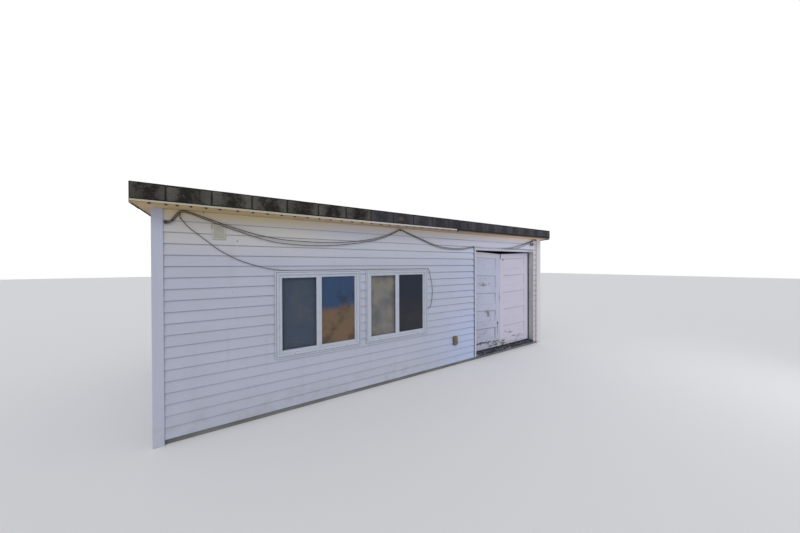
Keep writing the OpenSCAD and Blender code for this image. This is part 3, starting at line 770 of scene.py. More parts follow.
def cable_look():
    """Dark dusty sheath, with painted sunlight: pale over the doorway and grey further right."""
    look = Look("cable_sheath", (0.080, 0.079, 0.068), roughness=0.65)
    dusty = look.patches(14, 4, 0.45, 0.75)
    look.over((0.150, 0.140, 0.118), dusty)
    look.over(look.mix(dusty, (0.080, 0.058, 0.028), (0.130, 0.105, 0.060)), look.ramp("X", -2.4, -3.3))
    # Painted sunlight: the cables are painted pale over the doorway, fading to grey further right.
    painted_sunlight = look.blend("X", (0.62, 0.62, 0.68), (1.75, 2.50, (0.31, 0.30, 0.31)),
                          (2.55, 3.10, (0.170, 0.160, 0.160)))
    look.over(painted_sunlight, look.ramp("X", 1.235, 1.275, 0.0, 0.95))
    look.bump(look.noise(120, 2), 0.0004, 0.4)
    return look.done()


SIDING = siding_look()
POST_VINYL = post_look()
TRIM_VINYL = vinyl_look("vinyl_trim", shade(VINYL, 0.98)).done()
DOORWAY_VINYL = doorway_trim_look()
FRAME_VINYL = plain_look("window_vinyl", WINDOW_WHITE, roughness=0.35, wear=0.08)
WHITE_METAL = strip_look()
# The nails' dark brown also paints the shade inside the windows' drain slots.
NAIL = plain_look("nail_heads", (0.052, 0.032, 0.016), roughness=0.9, wear=0.4, scale=60)
SOFFIT_PAINT = soffit_look()
LINING = lining_look()
SPARE_WIRE = plain_look("spare_wire", (0.22, 0.205, 0.205), roughness=0.6, wear=0.25, scale=30)
BOLT_STEEL = plain_look("bolt_steel", (0.150, 0.145, 0.155), roughness=0.6, wear=0.30, metallic=0.2)
BLOCK_VINYL = plain_look("block_vinyl", (0.395, 0.380, 0.335), wear=0.12)
# The rim is a lighter copy of the block's vinyl: a painted highlight.
BLOCK_RIM_HIGHLIGHT = plain_look("block_rim_painted_highlight", (0.500, 0.480, 0.410), wear=0.12)
DARK_STEEL = plain_look("dark_steel", (0.055, 0.052, 0.050), roughness=0.6, wear=0.35, metallic=0.4)
OUTLET = plain_look("outlet_plastic", (0.160, 0.122, 0.078), wear=0.18, scale=18)
CONCRETE = concrete_look()
FLOOR_WOOD = wood_look("floor_boards", (0.30, 0.22, 0.14), (0.16, 0.11, 0.07))
SILL_WOOD = wood_look("sill_timber", (0.055, 0.059, 0.084), (0.006, 0.007, 0.012), weathered=True)
# The hinge post's near-black blue-grey is weathered wood, darkened further as painted shade of the deep gap
# it stands in.
HINGE_POST_WOOD = wood_look("hinge_post_timber", (0.066, 0.070, 0.095), (0.012, 0.013, 0.019), UPRIGHT)
WALL_WOOD = wood_look("wall_timber", (0.44, 0.33, 0.21), (0.28, 0.19, 0.11), UPRIGHT)
ROOF_WOOD = roof_wood_look()
DARK_SHINGLE = shingle_look("edge_shingles", (0.037, 0.033, 0.026), (0.122, 0.117, 0.103))
BLUE_SHINGLE = shingle_look("edge_shingles_newer", (0.046, 0.043, 0.050), (0.080, 0.078, 0.093), 0.45)
# Near-black painted shade, for the gaps, joints and slots where shade falls.
GAP_SHADOW = plain_look("gap_shade", (0.012, 0.011, 0.010), roughness=0.95, wear=0.3)
FASCIA_TAN = fascia_look()
ROOF_SHINGLE = shingle_look("roof_shingles", (0.070, 0.066, 0.063), (0.120, 0.112, 0.100))
UPRIGHT_PAINT = door_look("door_paint_upright", UPRIGHT)
LEVEL_PAINT = door_look("door_paint_level", ALONG_X)


# Siding: overlapping courses, cut round the openings

# How far a course slopes back from its foot to its top, and how deep the siding reaches
LIP = 0.0115
SIDING_BACK = 0.015
# How far every other panel tucks under its neighbour
LAP = 0.0012
PANEL_LENGTH = 3.66
SHORTEST_PANEL = 0.25
SMALLEST_BIT = 0.002
# Gaps at the corner posts and at the slot, round the windows and round the doorway
END_GAP = 0.0002
WINDOW_GAP = 0.020
DOORWAY_GAP = 0.009
# Depth of the near-black box of painted shade in the slot between the siding and the doorway's trim
SLOT_DEPTH = 0.009


def without(piece, hole):
    """A rectangle less another one, as up to four rectangles. Each is (left, right, bottom, top)."""
    s0, s1, z0, z1 = piece
    a0, a1, b0, b1 = hole
    if a0 >= s1 or a1 <= s0 or b0 >= z1 or b1 <= z0:
        return [piece]
    parts = [(s0, a0, z0, z1), (a1, s1, z0, z1),
             (max(s0, a0), min(s1, a1), z0, b0), (max(s0, a0), min(s1, a1), b1, z1)]
    return [p for p in parts if p[1] - p[0] > SMALLEST_BIT and p[3] - p[2] > SMALLEST_BIT]


def below(outline, top):
    """The part of an outline of (s, z) points that lies under the line top(s)."""
    kept = []
    for a, b in zip(outline, outline[1:] + outline[:1]):
        over_a, over_b = a[1] - top(a[0]), b[1] - top(b[0])
        if over_a <= 0:
            kept.append(a)
        if over_a * over_b < 0:
            t = over_a / (over_a - over_b)
            kept.append((between(a[0], b[0], t), between(a[1], b[1], t)))
    return kept


def lap_siding(node, low, high, place, top, seed, holes=()):
    """Courses of siding over a wall from low to high. place(s, depth, z) turns wall places into points."""
    chance = random.Random(seed)
    # The first number of the row isn't used
    chance.random()
    shape = Shape()
    z_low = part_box(node)[0].z
    s_low, s_high = low + END_GAP, high - END_GAP
    for course in range(math.ceil((max(top(s_low), top(s_high)) - z_low) / COURSE)):
        z0 = z_low + course * COURSE
        if course % 2 == 0:
            seam_start = chance.uniform(0.5, PANEL_LENGTH - 0.3)
        seams = [s_low + seam_start + k * PANEL_LENGTH for k in range(4)]
        stops = [s_low] + [s for s in seams if s < s_high - SHORTEST_PANEL] + [s_high]
        for k, (a, b) in enumerate(zip(stops, stops[1:])):
            tone = random.Random(seed * 1000 + course // 2 * 10 + k).random()
            pieces = [(a, b, z0, z0 + COURSE)]
            for hole in holes:
                pieces = [part for piece in pieces for part in without(piece, hole)]
            for p0, p1, q0, q1 in pieces:
                outline = below([(p0, q0), (p1, q0), (p1, q1), (p0, q1)], top)
                if len(outline) < 3:
                    continue
                sunk = LAP * (k % 2)
                front = [place(s, sunk + LIP * (z - z0) / COURSE, z) for s, z in outline]
                shape.prism(front, [place(s, SIDING_BACK, z) for s, z in outline], 0, tone)
    shape.piece(node + "_courses", [SIDING], replaces=(node,), slot="white_vinyl")


def grown(node, gap):
    """A node's outline on the front wall, with a gap all round."""
    low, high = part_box(node)
    return (low.x - gap, high.x + gap, low.z - gap, high.z + gap)


def end_siding(node, outward, seed):
    """Courses on an end wall, cut along the roof's fall. outward is 1 at the right end, -1 at the left."""
    low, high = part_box(node)
    face = low.x if outward < 0 else high.x
    z_front = max(heights_at(node, low.y))
    fall = (max(heights_at(node, high.y)) - z_front) / (high.y - low.y)
    lap_siding(node, low.y, high.y, lambda s, d, z: (face - outward * d, s, z),
               lambda s: z_front + (s - low.y) * fall, seed)


def make_siding():
    low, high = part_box("front_siding")
    trim_low, trim_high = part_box("doorway_trim")
    # A near-black box of painted shade in the slot between the siding and the doorway's trim.
    slot = Shape()
    slot.box((trim_low.x - DOORWAY_GAP, low.y + SLOT_DEPTH, max(trim_low.z, low.z)),
             (trim_low.x - END_GAP, low.y + SIDING_BACK - 0.0005, trim_high.z + 0.002))
    slot.piece("doorway_slot_shade", [GAP_SHADOW], slot="white_vinyl")
    holes = [grown("window_1_frame", WINDOW_GAP), grown("window_2_frame", WINDOW_GAP),
             grown("doorway_trim", DOORWAY_GAP)]
    lap_siding("front_siding", low.x, high.x, lambda s, d, z: (s, low.y + d, z), lambda s: high.z, 3, holes)
    b_low, b_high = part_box("back_siding")
    lap_siding("back_siding", b_low.x, b_high.x, lambda s, d, z: (s, b_high.y - d, z), lambda s: b_high.z, 5)
    end_siding("left_end_siding", -1, 7)
    end_siding("right_end_siding", 1, 11)


# Roof: shingle pieces along the edges and courses on top

STRIP_END_GAP = 0.045
BAND_BACKING = 0.004
BAND_JOINT = 0.009
BAND_PIECE = 0.3896
FIRST_JOINT = 0.276
# Where the front band's newer and bluer pieces start, from its left end, and how many long ones come first
NEWER_FROM = 4.62
BLUER_FROM = 2.61
OLD_LONG_PIECES = 11
# How tight the joints of newer pieces are, and how little their tones, and the painted shade at their
# joints, differ
NEWER_GAP = 0.3
NEWER_SHARE = 0.35
# Steps across and up a band piece, each as (share, how dark with painted shade at the joints and edges, or
# below 0, how pale)
BAND_ACROSS = [(0, 0.9), (0.010, -0.5), (0.05, -0.9), (0.20, -0.5), (0.42, 0.12), (0.60, 0.12), (0.82, -0.5),
               (0.95, -0.9), (0.990, -0.5), (1, 0.9)]
BAND_UP = [(0, 1.0), (0.05, 0.75), (0.11, 0.0), (0.35, 0), (0.75, 0), (0.95, 0.0), (1, 0.7)]
# Nails in a band piece: places along it, height above its lower edge, and how far both may stray
BAND_NAIL_PLACES = (0.22, 0.72)
BAND_NAIL_HEIGHT = 0.030
BAND_NAIL_STRAY = (0.06, 0.006)
BAND_NAIL_RADIUS = 0.0095
# How deep a band piece's face and back lie
BAND_FACE = 0.004
BAND_BACK = 0.008


def band_piece(shape, place, span, low, high, chance, slot, tone, joint):
    """One shingle folded over the roof's edge: a thin bowed solid with a slightly uneven rim."""
    columns, rows = len(BAND_ACROSS), len(BAND_UP)
    flare = chance.uniform(0.0, 0.0035)
    drop = chance.uniform(-0.003, 0.003)
    front, back, wear = [], [], []
    for v, foot in BAND_UP:
        for u, rim in BAND_ACROSS:
            s = between(*span, u)
            wave = 0.0015 * noise.noise(Vector((s * 9, v * 3, tone * 50)))
            depth = BAND_FACE - flare * (1 - v) ** 2 + wave + 0.003 * max(0, v - 0.8) * 5
            bottom = low(s) + drop + 0.002 * noise.noise(Vector((s * 20, 7, tone * 90)))
            top = high(s) + 0.0015 * noise.noise(Vector((s * 6, 3, 1)))
            front.append(place(s, depth, between(bottom, top, v)))
            back.append(place(s, BAND_BACK, between(low(s) + 0.004, high(s) - 0.001, v)))
            wear.append(foot if foot > 0 else rim * (joint if rim > 0 else 1.0))
    faces = []
    n = rows * columns
    for j in range(rows - 1):
        for i in range(columns - 1):
            k = j * columns + i
            quad = [k, k + 1, k + columns + 1, k + columns]
            faces.append(quad)
            faces.append([q + n for q in reversed(quad)])
    rim = list(range(columns)) + [j * columns + columns - 1 for j in range(1, rows)]
    rim += [(rows - 1) * columns + i for i in range(columns - 2, -1, -1)]
    rim += [j * columns for j in range(rows - 2, 0, -1)]
    for a, b in zip(rim, rim[1:] + rim[:1]):
        faces.append([b, a, a + n, b + n])
    shape.add(front + back, faces, slot, tone, wear + [1.0] * n)


def edge_band(name, nodes, place, span, low, high, thickness, seed, repaired=False):
    """Shingles along an edge, with nails and a near-black backing that paints the shade in the joints. A
    repaired edge has newer ones to the right.
    """
    chance = random.Random(seed)
    shape = Shape()
    s0, s1 = span
    rim = [(s0, low(s0)), (s1, low(s1)), (s1, high(s1) - 0.002), (s0, high(s0) - 0.002)]
    # The near-black backing paints the shade that shows through the joints.
    shape.prism([place(s, thickness - BAND_BACKING, z) for s, z in rim],
                [place(s, thickness, z) for s, z in rim], 2, 0.9)
    joints = [s0, s0 + FIRST_JOINT]
    while joints[-1] < s1 - 0.1:
        half = repaired and len(joints) == OLD_LONG_PIECES + 2
        joints.append(min(s1, joints[-1] + (BAND_PIECE / 2 if half else BAND_PIECE)))
    joints[-1] = s1
    along, up = BAND_NAIL_STRAY
    for a, b in zip(joints, joints[1:]):
        newer = repaired and a > s0 + NEWER_FROM - 0.1
        bluer = repaired and a > s0 + BLUER_FROM - 0.1
        gap = BAND_JOINT * (NEWER_GAP if newer else 1.0) * chance.uniform(0.7, 1.3)
        share = NEWER_SHARE if newer else 1.0
        tone = chance.random() * share
        band_piece(shape, place, (a + gap / 2, b - gap / 2), low, high, chance, int(bluer), tone, share)
        for u in BAND_NAIL_PLACES:
            s = between(a, b, u + chance.uniform(-along, along))
            z = low(s) + BAND_NAIL_HEIGHT + chance.uniform(-up, up)
            shape.rod(place(s, 0.006, z), place(s, -0.001, z), BAND_NAIL_RADIUS, 8, 3)
    looks = [DARK_SHINGLE, BLUE_SHINGLE, GAP_SHADOW, NAIL]
    shape.piece(name, looks, replaces=nodes, slot="shingle", smooth=True)


# How far the front band's bottom edge, and the strip under it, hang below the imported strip's top
BAND_DROP = 0.019
RIGHT_BAND_DROP = 0.012


def make_bands():
    low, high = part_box("front_roof_band")
    strip_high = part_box("eave_strip")[1]
    thickness = high.y - low.y
    right_low = min(v.co.z for v in NODES["front_roof_band"].data.vertices if v.co.x > high.x - 0.01)

    def front_low(s):
        if s <= strip_high.x + STRIP_END_GAP:
            return strip_high.z - BAND_DROP
        return right_low - RIGHT_BAND_DROP * (high.x - s) / (high.x - strip_high.x)

    edge_band("front_edge_shingles", ("front_roof_band",), lambda s, d, z: (s, low.y + d, z),
              (low.x, high.x), front_low, lambda s: high.z, thickness, 21, repaired=True)
    b_low, b_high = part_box("back_roof_band")
    edge_band("back_edge_shingles", ("back_roof_band",), lambda s, d, z: (s, b_high.y - d, z),
              (b_low.x, b_high.x), lambda s: b_low.z, lambda s: b_high.z, thickness, 23)
    e_low, e_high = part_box("end_roof_bands")
    fronts, backs = [heights_at("end_roof_bands", y) for y in (e_low.y, e_high.y)]

    def edge(pick):
        """The line along an end of the roof that pick, min or max, finds at its front and its back."""
        return lambda s: between(pick(fronts), pick(backs), (s - e_low.y) / (e_high.y - e_low.y))

    edge_band("left_edge_shingles", ("end_roof_bands",), lambda s, d, z: (e_low.x + d, s, z),
              (e_low.y, e_high.y), edge(min), edge(max), thickness, 25)
    edge_band("right_edge_shingles", (), lambda s, d, z: (e_high.x - d, s, z),
              (e_low.y, e_high.y), edge(min), edge(max), thickness, 27)


# Roof shingles: width, how much of one shows, the gap between two, and how thick its lower edge is
TAB_WIDTH = 0.305
TAB_SHOWS = 0.143
TAB_GAP = 0.007
TAB_BUTT = 0.005
COVERING_DEPTH = 0.008
FELT = 0.003


def make_roof_top():
    """Courses of three-tab shingles that lap down the fall, from the front to the back."""
    chance = random.Random(31)
    low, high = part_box("roof_covering")
    z_front, z_back = [max(heights_at("roof_covering", y)) for y in (low.y, high.y)]

    def surface(y, lift):
        return between(z_front, z_back, (y - low.y) / (high.y - low.y)) - COVERING_DEPTH + lift

    shape = Shape()
    corners = [(low.x, low.y), (high.x, low.y), (high.x, high.y), (low.x, high.y)]
    shape.prism([(x, y, surface(y, 0)) for x, y in corners],
                [(x, y, surface(y, FELT)) for x, y in corners], 0, 0.9)
    for course in range(math.ceil((high.y - low.y) / TAB_SHOWS)):
        y_butt = high.y - course * TAB_SHOWS
        y_top = max(low.y, y_butt - TAB_SHOWS)
        x = low.x - (TAB_WIDTH / 2 if course % 2 else 0)
        while x < high.x:
            x0, x1 = max(low.x, x + TAB_GAP / 2), min(high.x, x + TAB_WIDTH - TAB_GAP / 2)
            if x1 - x0 > 0.01:
                lift = FELT + TAB_BUTT * chance.uniform(0.75, 1.0)
                corners = [(x0, y_butt, lift), (x1, y_butt, lift), (x1, y_top, 0.0038), (x0, y_top, 0.0038)]
                shape.prism([(a, b, surface(b, h)) for a, b, h in corners],
                            [(a, b, surface(b, 0.0028)) for a, b, h in corners], 0, chance.random())
            x += TAB_WIDTH
    shape.piece("roof_top_shingles", [ROOF_SHINGLE], replaces=("roof_covering",), slot="shingle")


STRIP_NAIL_PITCH = 0.156
STRIP_FIRST_NAIL = 0.909
# Places along X of the nails at the left end, which stand closer together than the rest
CLOSE_NAILS = (-3.600, -3.471, -3.383, -3.267, -3.137, -3.010)
STRIP_NAIL_HALF_W = 0.0135
STRIP_NAIL_HALF_H = 0.0085
# How far the strip's middle hangs below its ends
STRIP_SAG = 0.010
STRIP_STEPS = 36
DRIP_EDGE_H = 0.0155


def make_eave_strip():
    """The white drip edge and the tan board under it, both a little bowed, with a row of big nails."""
    low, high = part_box("eave_strip")
    depth = high.y - low.y
    top = high.z - BAND_DROP
    edge, board = [], []

    def sag(x):
        return -STRIP_SAG * math.sin(math.pi * (x - low.x) / (high.x - low.x)) ** 2

    for i in range(STRIP_STEPS + 1):
        x = between(low.x, high.x, i / STRIP_STEPS)
        z1 = top + 0.004 + sag(x) * 0.3
        z0 = top - DRIP_EDGE_H + sag(x)
        section = [(-0.002, z0), (-0.003, z0 + 0.003), (-0.001, z0 + 0.006), (0.001, z1 - 0.008),
                   (-0.001, z1 - 0.003), (0.000, z1), (depth, z1), (depth, z0 + 0.002), (0.004, z0 + 0.001)]
        edge.append([(x, low.y + d, z) for d, z in section])
        wave = 0.0015 * noise.noise(Vector((x * 2, 5, 1)))
        section = [(0.0045, low.z + sag(x) + wave), (0.003, low.z + sag(x) + 0.003 + wave),
                   (0.003, z0 + 0.0005), (depth, z0 + 0.0005), (depth, low.z + sag(x) + wave)]
        board.append([(x, low.y + d, z) for d, z in section])
    shape = Shape()
    shape.loft(edge, 0, 0.2)
    shape.loft(board, 1, 0.4)
    places = list(CLOSE_NAILS)
    x = low.x + STRIP_FIRST_NAIL
    while x < high.x - 0.03:
        places.append(x)
        x += STRIP_NAIL_PITCH
    for x in places:
        z = top - DRIP_EDGE_H + sag(x) - 0.010
        shape.loft([[(x + STRIP_NAIL_HALF_W * math.cos(a), y, z + STRIP_NAIL_HALF_H * math.sin(a))
                     for a in turns(12)] for y in (low.y + 0.008, low.y - 0.0025)], 2)
    # A near-black box of painted shade in the gap past the strip's right end.
    shape.box((high.x, low.y + 0.004, top - 0.040), (high.x + STRIP_END_GAP, high.y, top - 0.001), 3)
    shape.piece("eave_strip_bowed", [WHITE_METAL, FASCIA_TAN, NAIL, GAP_SHADOW], replaces=("eave_strip",),
                slot="white_metal", smooth=True)


# Windows: each section is a list of (share of the bar's width, depth), from the outline inwards

# Widths of a frame's left bar, right bar and rails. These make a section's shares plain metres outwards.
OUTWARDS = (-1, -1, -1)
TRIM_SECTION = [(0.0035, 0.0), (0.0035, -0.0105), (0.005, -0.0120), (0.016, -0.0120), (0.022, -0.0105),
                (0.024, -0.007), (0.024, 0.0)]
FRAME_SECTION = [(0.0, -0.009), (-0.001, -0.010), (-0.026, -0.010), (-0.028, -0.009), (-0.030, -0.006),
                 (-0.030, 0.086), (0.0, 0.086)]
# The near-black strip of painted shade in the joint between a frame and its trim
FRAME_GAP_SECTION = [(0.0032, 0.0), (0.0032, -0.0088), (0.0002, -0.0088), (0.0002, 0.0)]
SASH_WIDTHS = (0.032, 0.032, 0.042)
SASH_SECTION = [(0.0, -0.007), (0.04, -0.009), (0.86, -0.009), (0.94, -0.006), (1.0, 0.002), (1.0, 0.028),
                (0.0, 0.028)]
SASH_DEPTH = 0.028
# The insect screen's frame, in front of the left sash, has a wide bar where the two sashes meet
SCREEN_WIDTHS = (0.036, 0.046, 0.043)
SCREEN_SECTION = [(0.0, 0.0015), (0.04, 0.0), (0.90, 0.0), (0.97, 0.0015), (1.0, 0.006), (0.0, 0.006)]
SCREEN_SET = 0.015
# Two drain slots in a frame's bottom bar: where they start, as shares of its width, and how wide they are.
# Each is a dark box of painted shade inside the slot.
DRAIN_PLACES = (0.18, 0.82)
DRAIN_WIDTH = 0.022
# Two clips on the screen's left bar: their heights, as shares of its height
CLIP_PLACES = (0.05, 0.95)


def bars(shape, rect, section, place, widths=OUTWARDS, slot=0):
    """A frame along a rectangle."""
    x0, x1, z0, z1 = rect
    left, right, rail = widths
    corners = [(x0, z0, left, rail), (x1, z0, -right, rail), (x1, z1, -right, -rail), (x0, z1, left, -rail)]
    shape.loft([[place(x + wide * share, depth, z + up * share) for share, depth in section]
                for x, z, wide, up in corners], slot, 0.3, ring=True)


def make_window(number):
    key = f"window_{number}_"
    frame_low, frame_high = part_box(key + "frame")

    def place(x, depth, z):
        return (x, FRONT_Y + depth, z)

    rect = (frame_low.x, frame_high.x, frame_low.z, frame_high.z)
    trim = Shape()
    bars(trim, rect, TRIM_SECTION, place)
    trim.piece(key + "channel", [TRIM_VINYL], replaces=(key + "trim",), slot="white_vinyl", smooth=True)

    outer = Shape()
    bars(outer, rect, FRAME_SECTION, place)
    # Drain slots, as dark boxes of painted shade inside them.
    for share in DRAIN_PLACES:
        x = between(frame_low.x, frame_high.x, share)
        outer.box(place(x, -0.0106, frame_low.z + 0.010),
                  place(x + DRAIN_WIDTH, -0.004, frame_low.z + 0.015), 1)
    # The near-black strip of painted shade in the joint between the frame and its trim.
    bars(outer, rect, FRAME_GAP_SECTION, place, slot=2)
    outer.piece(key + "surround", [FRAME_VINYL, NAIL, GAP_SHADOW], replaces=(key + "frame",),
                slot="window_white", smooth=True)

    sashes = Shape()
    spots = [v.co for v in NODES[key + "sashes"].data.vertices]
    outer_y = min(c.y for c in spots)
    inner_y = max(c.y for c in spots) - SASH_DEPTH
    outlines = {}
    for y in (inner_y, outer_y):
        xs, zs = zip(*[(c.x, c.z) for c in spots if abs(c.y - y) < 0.0005])
        outlines[y] = (min(xs), max(xs), min(zs), max(zs))
        bars(sashes, outlines[y], SASH_SECTION,
             lambda x, d, z: (x, y + (d if y == outer_y else max(d, 0.0)), z), SASH_WIDTHS)
    sashes.piece(key + "sliders", [FRAME_VINYL], replaces=(key + "sashes",),
                 slot="window_white", smooth=True)

    left, _, bottom, top = outlines[inner_y]
    right = outlines[outer_y][0]
    screen_y = outer_y - SCREEN_SET
    screen = Shape()
    bars(screen, (left + 0.0005, right - 0.0005, bottom + 0.0005, top - 0.0005), SCREEN_SECTION,
         lambda x, d, z: (x, screen_y + d, z), SCREEN_WIDTHS)
    for share in CLIP_PLACES:
        z = between(bottom, top, share)
        screen.box((left + 0.008, screen_y - 0.0025, z - 0.014),
                   (left + 0.022, screen_y + 0.001, z + 0.014), 0, 0.9)
    screen.piece(key + "screen_frame", [FRAME_VINYL], slot="window_white", smooth=True)


# Doorway and door leaves

LEAF_RAIL_TOP = 0.113
LEAF_RAIL_MID = 0.140
LEAF_PANEL = 0.250
LEAF_PANELS = 5
LEAF_STILE = 0.137
LEAF_JOINT = 0.0008
# How much thinner the rails are than the stiles, on each face
RAIL_SET = 0.0006
# In how many steps rot eats into the bottom of the stile at the seam and of the bottom rail, and how far
STILE_ROT = (8, 0.016)
RAIL_ROT = (40, 0.028)
SOUND = (1, 0.0)
# How dark a panel's corners are with painted shade and some dirt, from the hinged bottom round to the hinged
# top
EDGE_SHADE_AND_DIRT = (0.10, 0.16, 0.40, 0.26)
# How much darker that painted shade and dirt are on the left leaf's panels, from the top one down, and on
# the right leaf's
LEFT_PANEL_SHADE_AND_DIRT = (1.0, 1.2, 1.5, 1.8, 2.6)
RIGHT_PANEL_SHADE_AND_DIRT = (1.3,) * LEAF_PANELS
# Edge of a sunk panel: how far inside the rails, how deep (none is the leaf's middle), how dark with painted
# shade and dirt
PANEL_EDGE = [(0, None, 1.0), (0.0, 0.002, 0.9), (0.003, 0.0085, 1.0), (0.010, 0.0125, 1.0),
              (0.016, 0.0120, 0.35), (0.022, 0.0112, 0.0)]
# The left leaf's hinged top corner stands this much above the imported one, which leaves a thin gap over it
LEFT_LEAF_LIFT = 0.009


def leaf_corners(node, side):
    """The four outer corners of a leaf as (x, z): hinged bottom and top, then seam bottom and top."""
    spots = [(v.co.x, v.co.z) for v in NODES[node].data.vertices]
    hinged = [p for p in spots if p[0] * side < min(q[0] * side for q in spots) + 0.001]
    seam = [p for p in spots if p[0] * side > max(q[0] * side for q in spots) - 0.030]
    return [pick(group, key=lambda p: p[1]) for group in (hinged, seam) for pick in (min, max)]


def make_leaf(node, body, name, side, seed, panel_shade_and_dirt, lift=0.0):
    """An old panelled leaf, racked by its sag. side is 1 for the left leaf and -1 for the right one."""
    low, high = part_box(node)
    y_front, y_back = low.y, high.y
    hinge_low, hinge_top, seam_low, seam_top = [Vector((x, 0, z)) for x, z in leaf_corners(node, side)]
    hinge_top.z += lift
    width = abs((seam_low.x + seam_top.x) / 2 - hinge_low.x)
    height = hinge_top.z - hinge_low.z
    chance = random.Random(seed)
    shape = Shape()

    def spot(a, v, y):
        u = a / width
        bottom, top = hinge_low.lerp(seam_low, u), hinge_top.lerp(seam_top, u)
        at = bottom.lerp(top, v / height)
        return (at.x, y, at.z)

    def slab(a0, a1, v0, v1, y0, y1, slot, rot=SOUND):
        """A board of the leaf, with its bottom edge eaten by rot towards the seam."""
        parts, worn = rot
        loops = []
        for i in range(parts + 1):
            a = between(a0, a1, i / parts)
            ragged = 0.5 + 0.5 * noise.noise(Vector((a * 22, seed, 0)))
            bite = worn * ragged * (0.15 + 0.85 * (a / width) ** 3)
            rim = ((v0 + bite, y0), (v1, y0), (v1, y1), (v0 + bite * 0.6, y1))
            loops.append([spot(a, v, y) for v, y in rim])
        shape.loft(loops, slot, chance.random())

    slab(0, LEAF_STILE, 0, height, y_front, y_back, 0)
    slab(width - LEAF_STILE, width, 0.0, height, y_front, y_back, 0, STILE_ROT)
    rails = [(height - LEAF_RAIL_TOP, height)]
    panels = []
    for i in range(LEAF_PANELS):
        top = rails[-1][0]
        bottom = top - LEAF_PANEL
        panels.append((bottom, top))
        rails.append((bottom - LEAF_RAIL_MID if i < LEAF_PANELS - 1 else 0, bottom))
    a0, a1 = LEAF_STILE + LEAF_JOINT, width - LEAF_STILE - LEAF_JOINT
    for v0, v1 in rails:
        slab(a0, a1, v0, v1, y_front + RAIL_SET, y_back - RAIL_SET, 1, SOUND if v0 else RAIL_ROT)
    for (v0, v1), darker_by in zip(panels, panel_shade_and_dirt):
        for sign, y_face in ((1, y_front), (-1, y_back)):
            loops, wear = [], []
            # Each loop takes its share of the painted shade and dirt at the panel's edge.
            for inset, sink, dirt in PANEL_EDGE:
                depth = y_face + sign * sink if sink else (y_front + y_back) / 2
                rim = [(a0 + inset, v0 + inset), (a1 - inset, v0 + inset),
                       (a1 - inset, v1 - inset), (a0 + inset, v1 - inset)]
                loops.append([spot(a, v, depth) for a, v in rim])
                wear += [min(1.0, dirt * share * darker_by) for share in EDGE_SHADE_AND_DIRT]
            shape.loft(loops, 1, chance.random(), wear)
    shape.piece(name, [UPRIGHT_PAINT, LEVEL_PAINT], body=body, replaces=(node,),
                slot="door_paint", bevel=0.0015)


def rough_beam(shape, low, high, counts, rough, seed, tone):
    """A timber whose faces are worn inwards, never outwards."""
    index, points, faces = {}, [], []

    def at(spot):
        p = [between(low[n], high[n], spot[n] / counts[n]) for n in range(3)]
        for n in range(3):
            if spot[n] in (0, counts[n]):
                worn = 0.5 + 0.5 * noise.noise(Vector((p[0] * 14 + seed, p[1] * 40, p[2] * 40 + n * 9)))
                p[n] += rough * worn * (1 if spot[n] == 0 else -1)
        return tuple(p)

    def number(spot):
        if spot not in index:
            index[spot] = len(points)
            points.append(at(spot))
        return index[spot]

    for fixed, across, along in ((2, 0, 1), (1, 0, 2), (0, 1, 2)):
        for a in range(counts[across]):
            for b in range(counts[along]):
                for end in (0, counts[fixed]):
                    face = []
                    for da, db in ((0, 0), (1, 0), (1, 1), (0, 1)):
                        spot = [end] * 3
                        spot[across], spot[along] = a + da, b + db
                        face.append(number(tuple(spot)))
                    faces.append(face)
    shape.add(points, faces, 0, tone)


def make_sill():
    """The timber under the doors and the one in front of it."""
    low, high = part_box("door_sill")
    core_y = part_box("door_stop_post")[0].y
    left = max(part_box("doorway_lining")[0].x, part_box("doorway_trim")[0].x + 0.045)
    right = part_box("hinge_post")[1].x
    shape = Shape()
    rough_beam(shape, (low.x, core_y, low.z), (high.x, high.y, high.z), (90, 6, 3), 0.004, 3, 0.4)
    rough_beam(shape, (left, low.y, low.z), (right, core_y - 0.002, high.z - 0.001),
               (90, 3, 3), 0.005, 8, 0.7)
    shape.piece("sill_timbers", [SILL_WOOD], replaces=("door_sill",), slot="sill_timber", smooth=True)


FLOOR_BOARD = 0.140
# Half the gap between two boards, at their ends and along their sides
BOARD_END_GAP = 0.0008
BOARD_SIDE_GAP = 0.001


def make_floor():
    """Floor boards, each cut once at a place of its own."""
    chance = random.Random(51)
    low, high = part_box("floor")
    shape = Shape()
    y = low.y
    while y < high.y - 0.02:
        y1 = min(high.y, y + FLOOR_BOARD)
        cut = chance.uniform(low.x + 1, high.x - 1)
        for x0, x1 in ((low.x, cut), (cut, high.x)):
            shape.box((x0 + BOARD_END_GAP, y + BOARD_SIDE_GAP, low.z),
                      (x1 - BOARD_END_GAP, y1 - BOARD_SIDE_GAP, high.z), 0, chance.random())
        y = y1
    shape.piece("floor_planks", [FLOOR_WOOD], replaces=("floor",), slot="floor_boards", bevel=0.002)


# Small parts

CORNER_STEPS = 6


def rounded(width, height, radius):
    """A rounded rectangle round its own centre, as (x, z) points."""
    found = []
    for cx, cz, start in ((1, 1, 0), (-1, 1, 1), (-1, -1, 2), (1, -1, 3)):
        for k in range(CORNER_STEPS + 1):
            a = (start + k / CORNER_STEPS) * math.pi / 2
            found.append((cx * (width / 2 - radius) + radius * math.cos(a),
                          cz * (height / 2 - radius) + radius * math.sin(a)))
    return found


# Outlines of the outlet's base plate and of its lid: how far inside, how far off the wall, corner radius
PLATE_LOOPS = [(0, 0, 0.022), (0, 0.006, 0.022), (0.002, 0.008, 0.020)]
LID_LOOPS = [(0.008, 0.006, 0.018), (0.008, 0.012, 0.018), (0.011, 0.036, 0.020), (0.016, 0.044, 0.022),
             (0.026, 0.048, 0.022)]
# Places of the lid's ribs, as shares of its width
LID_RIBS = (0.34, 0.50, 0.66)


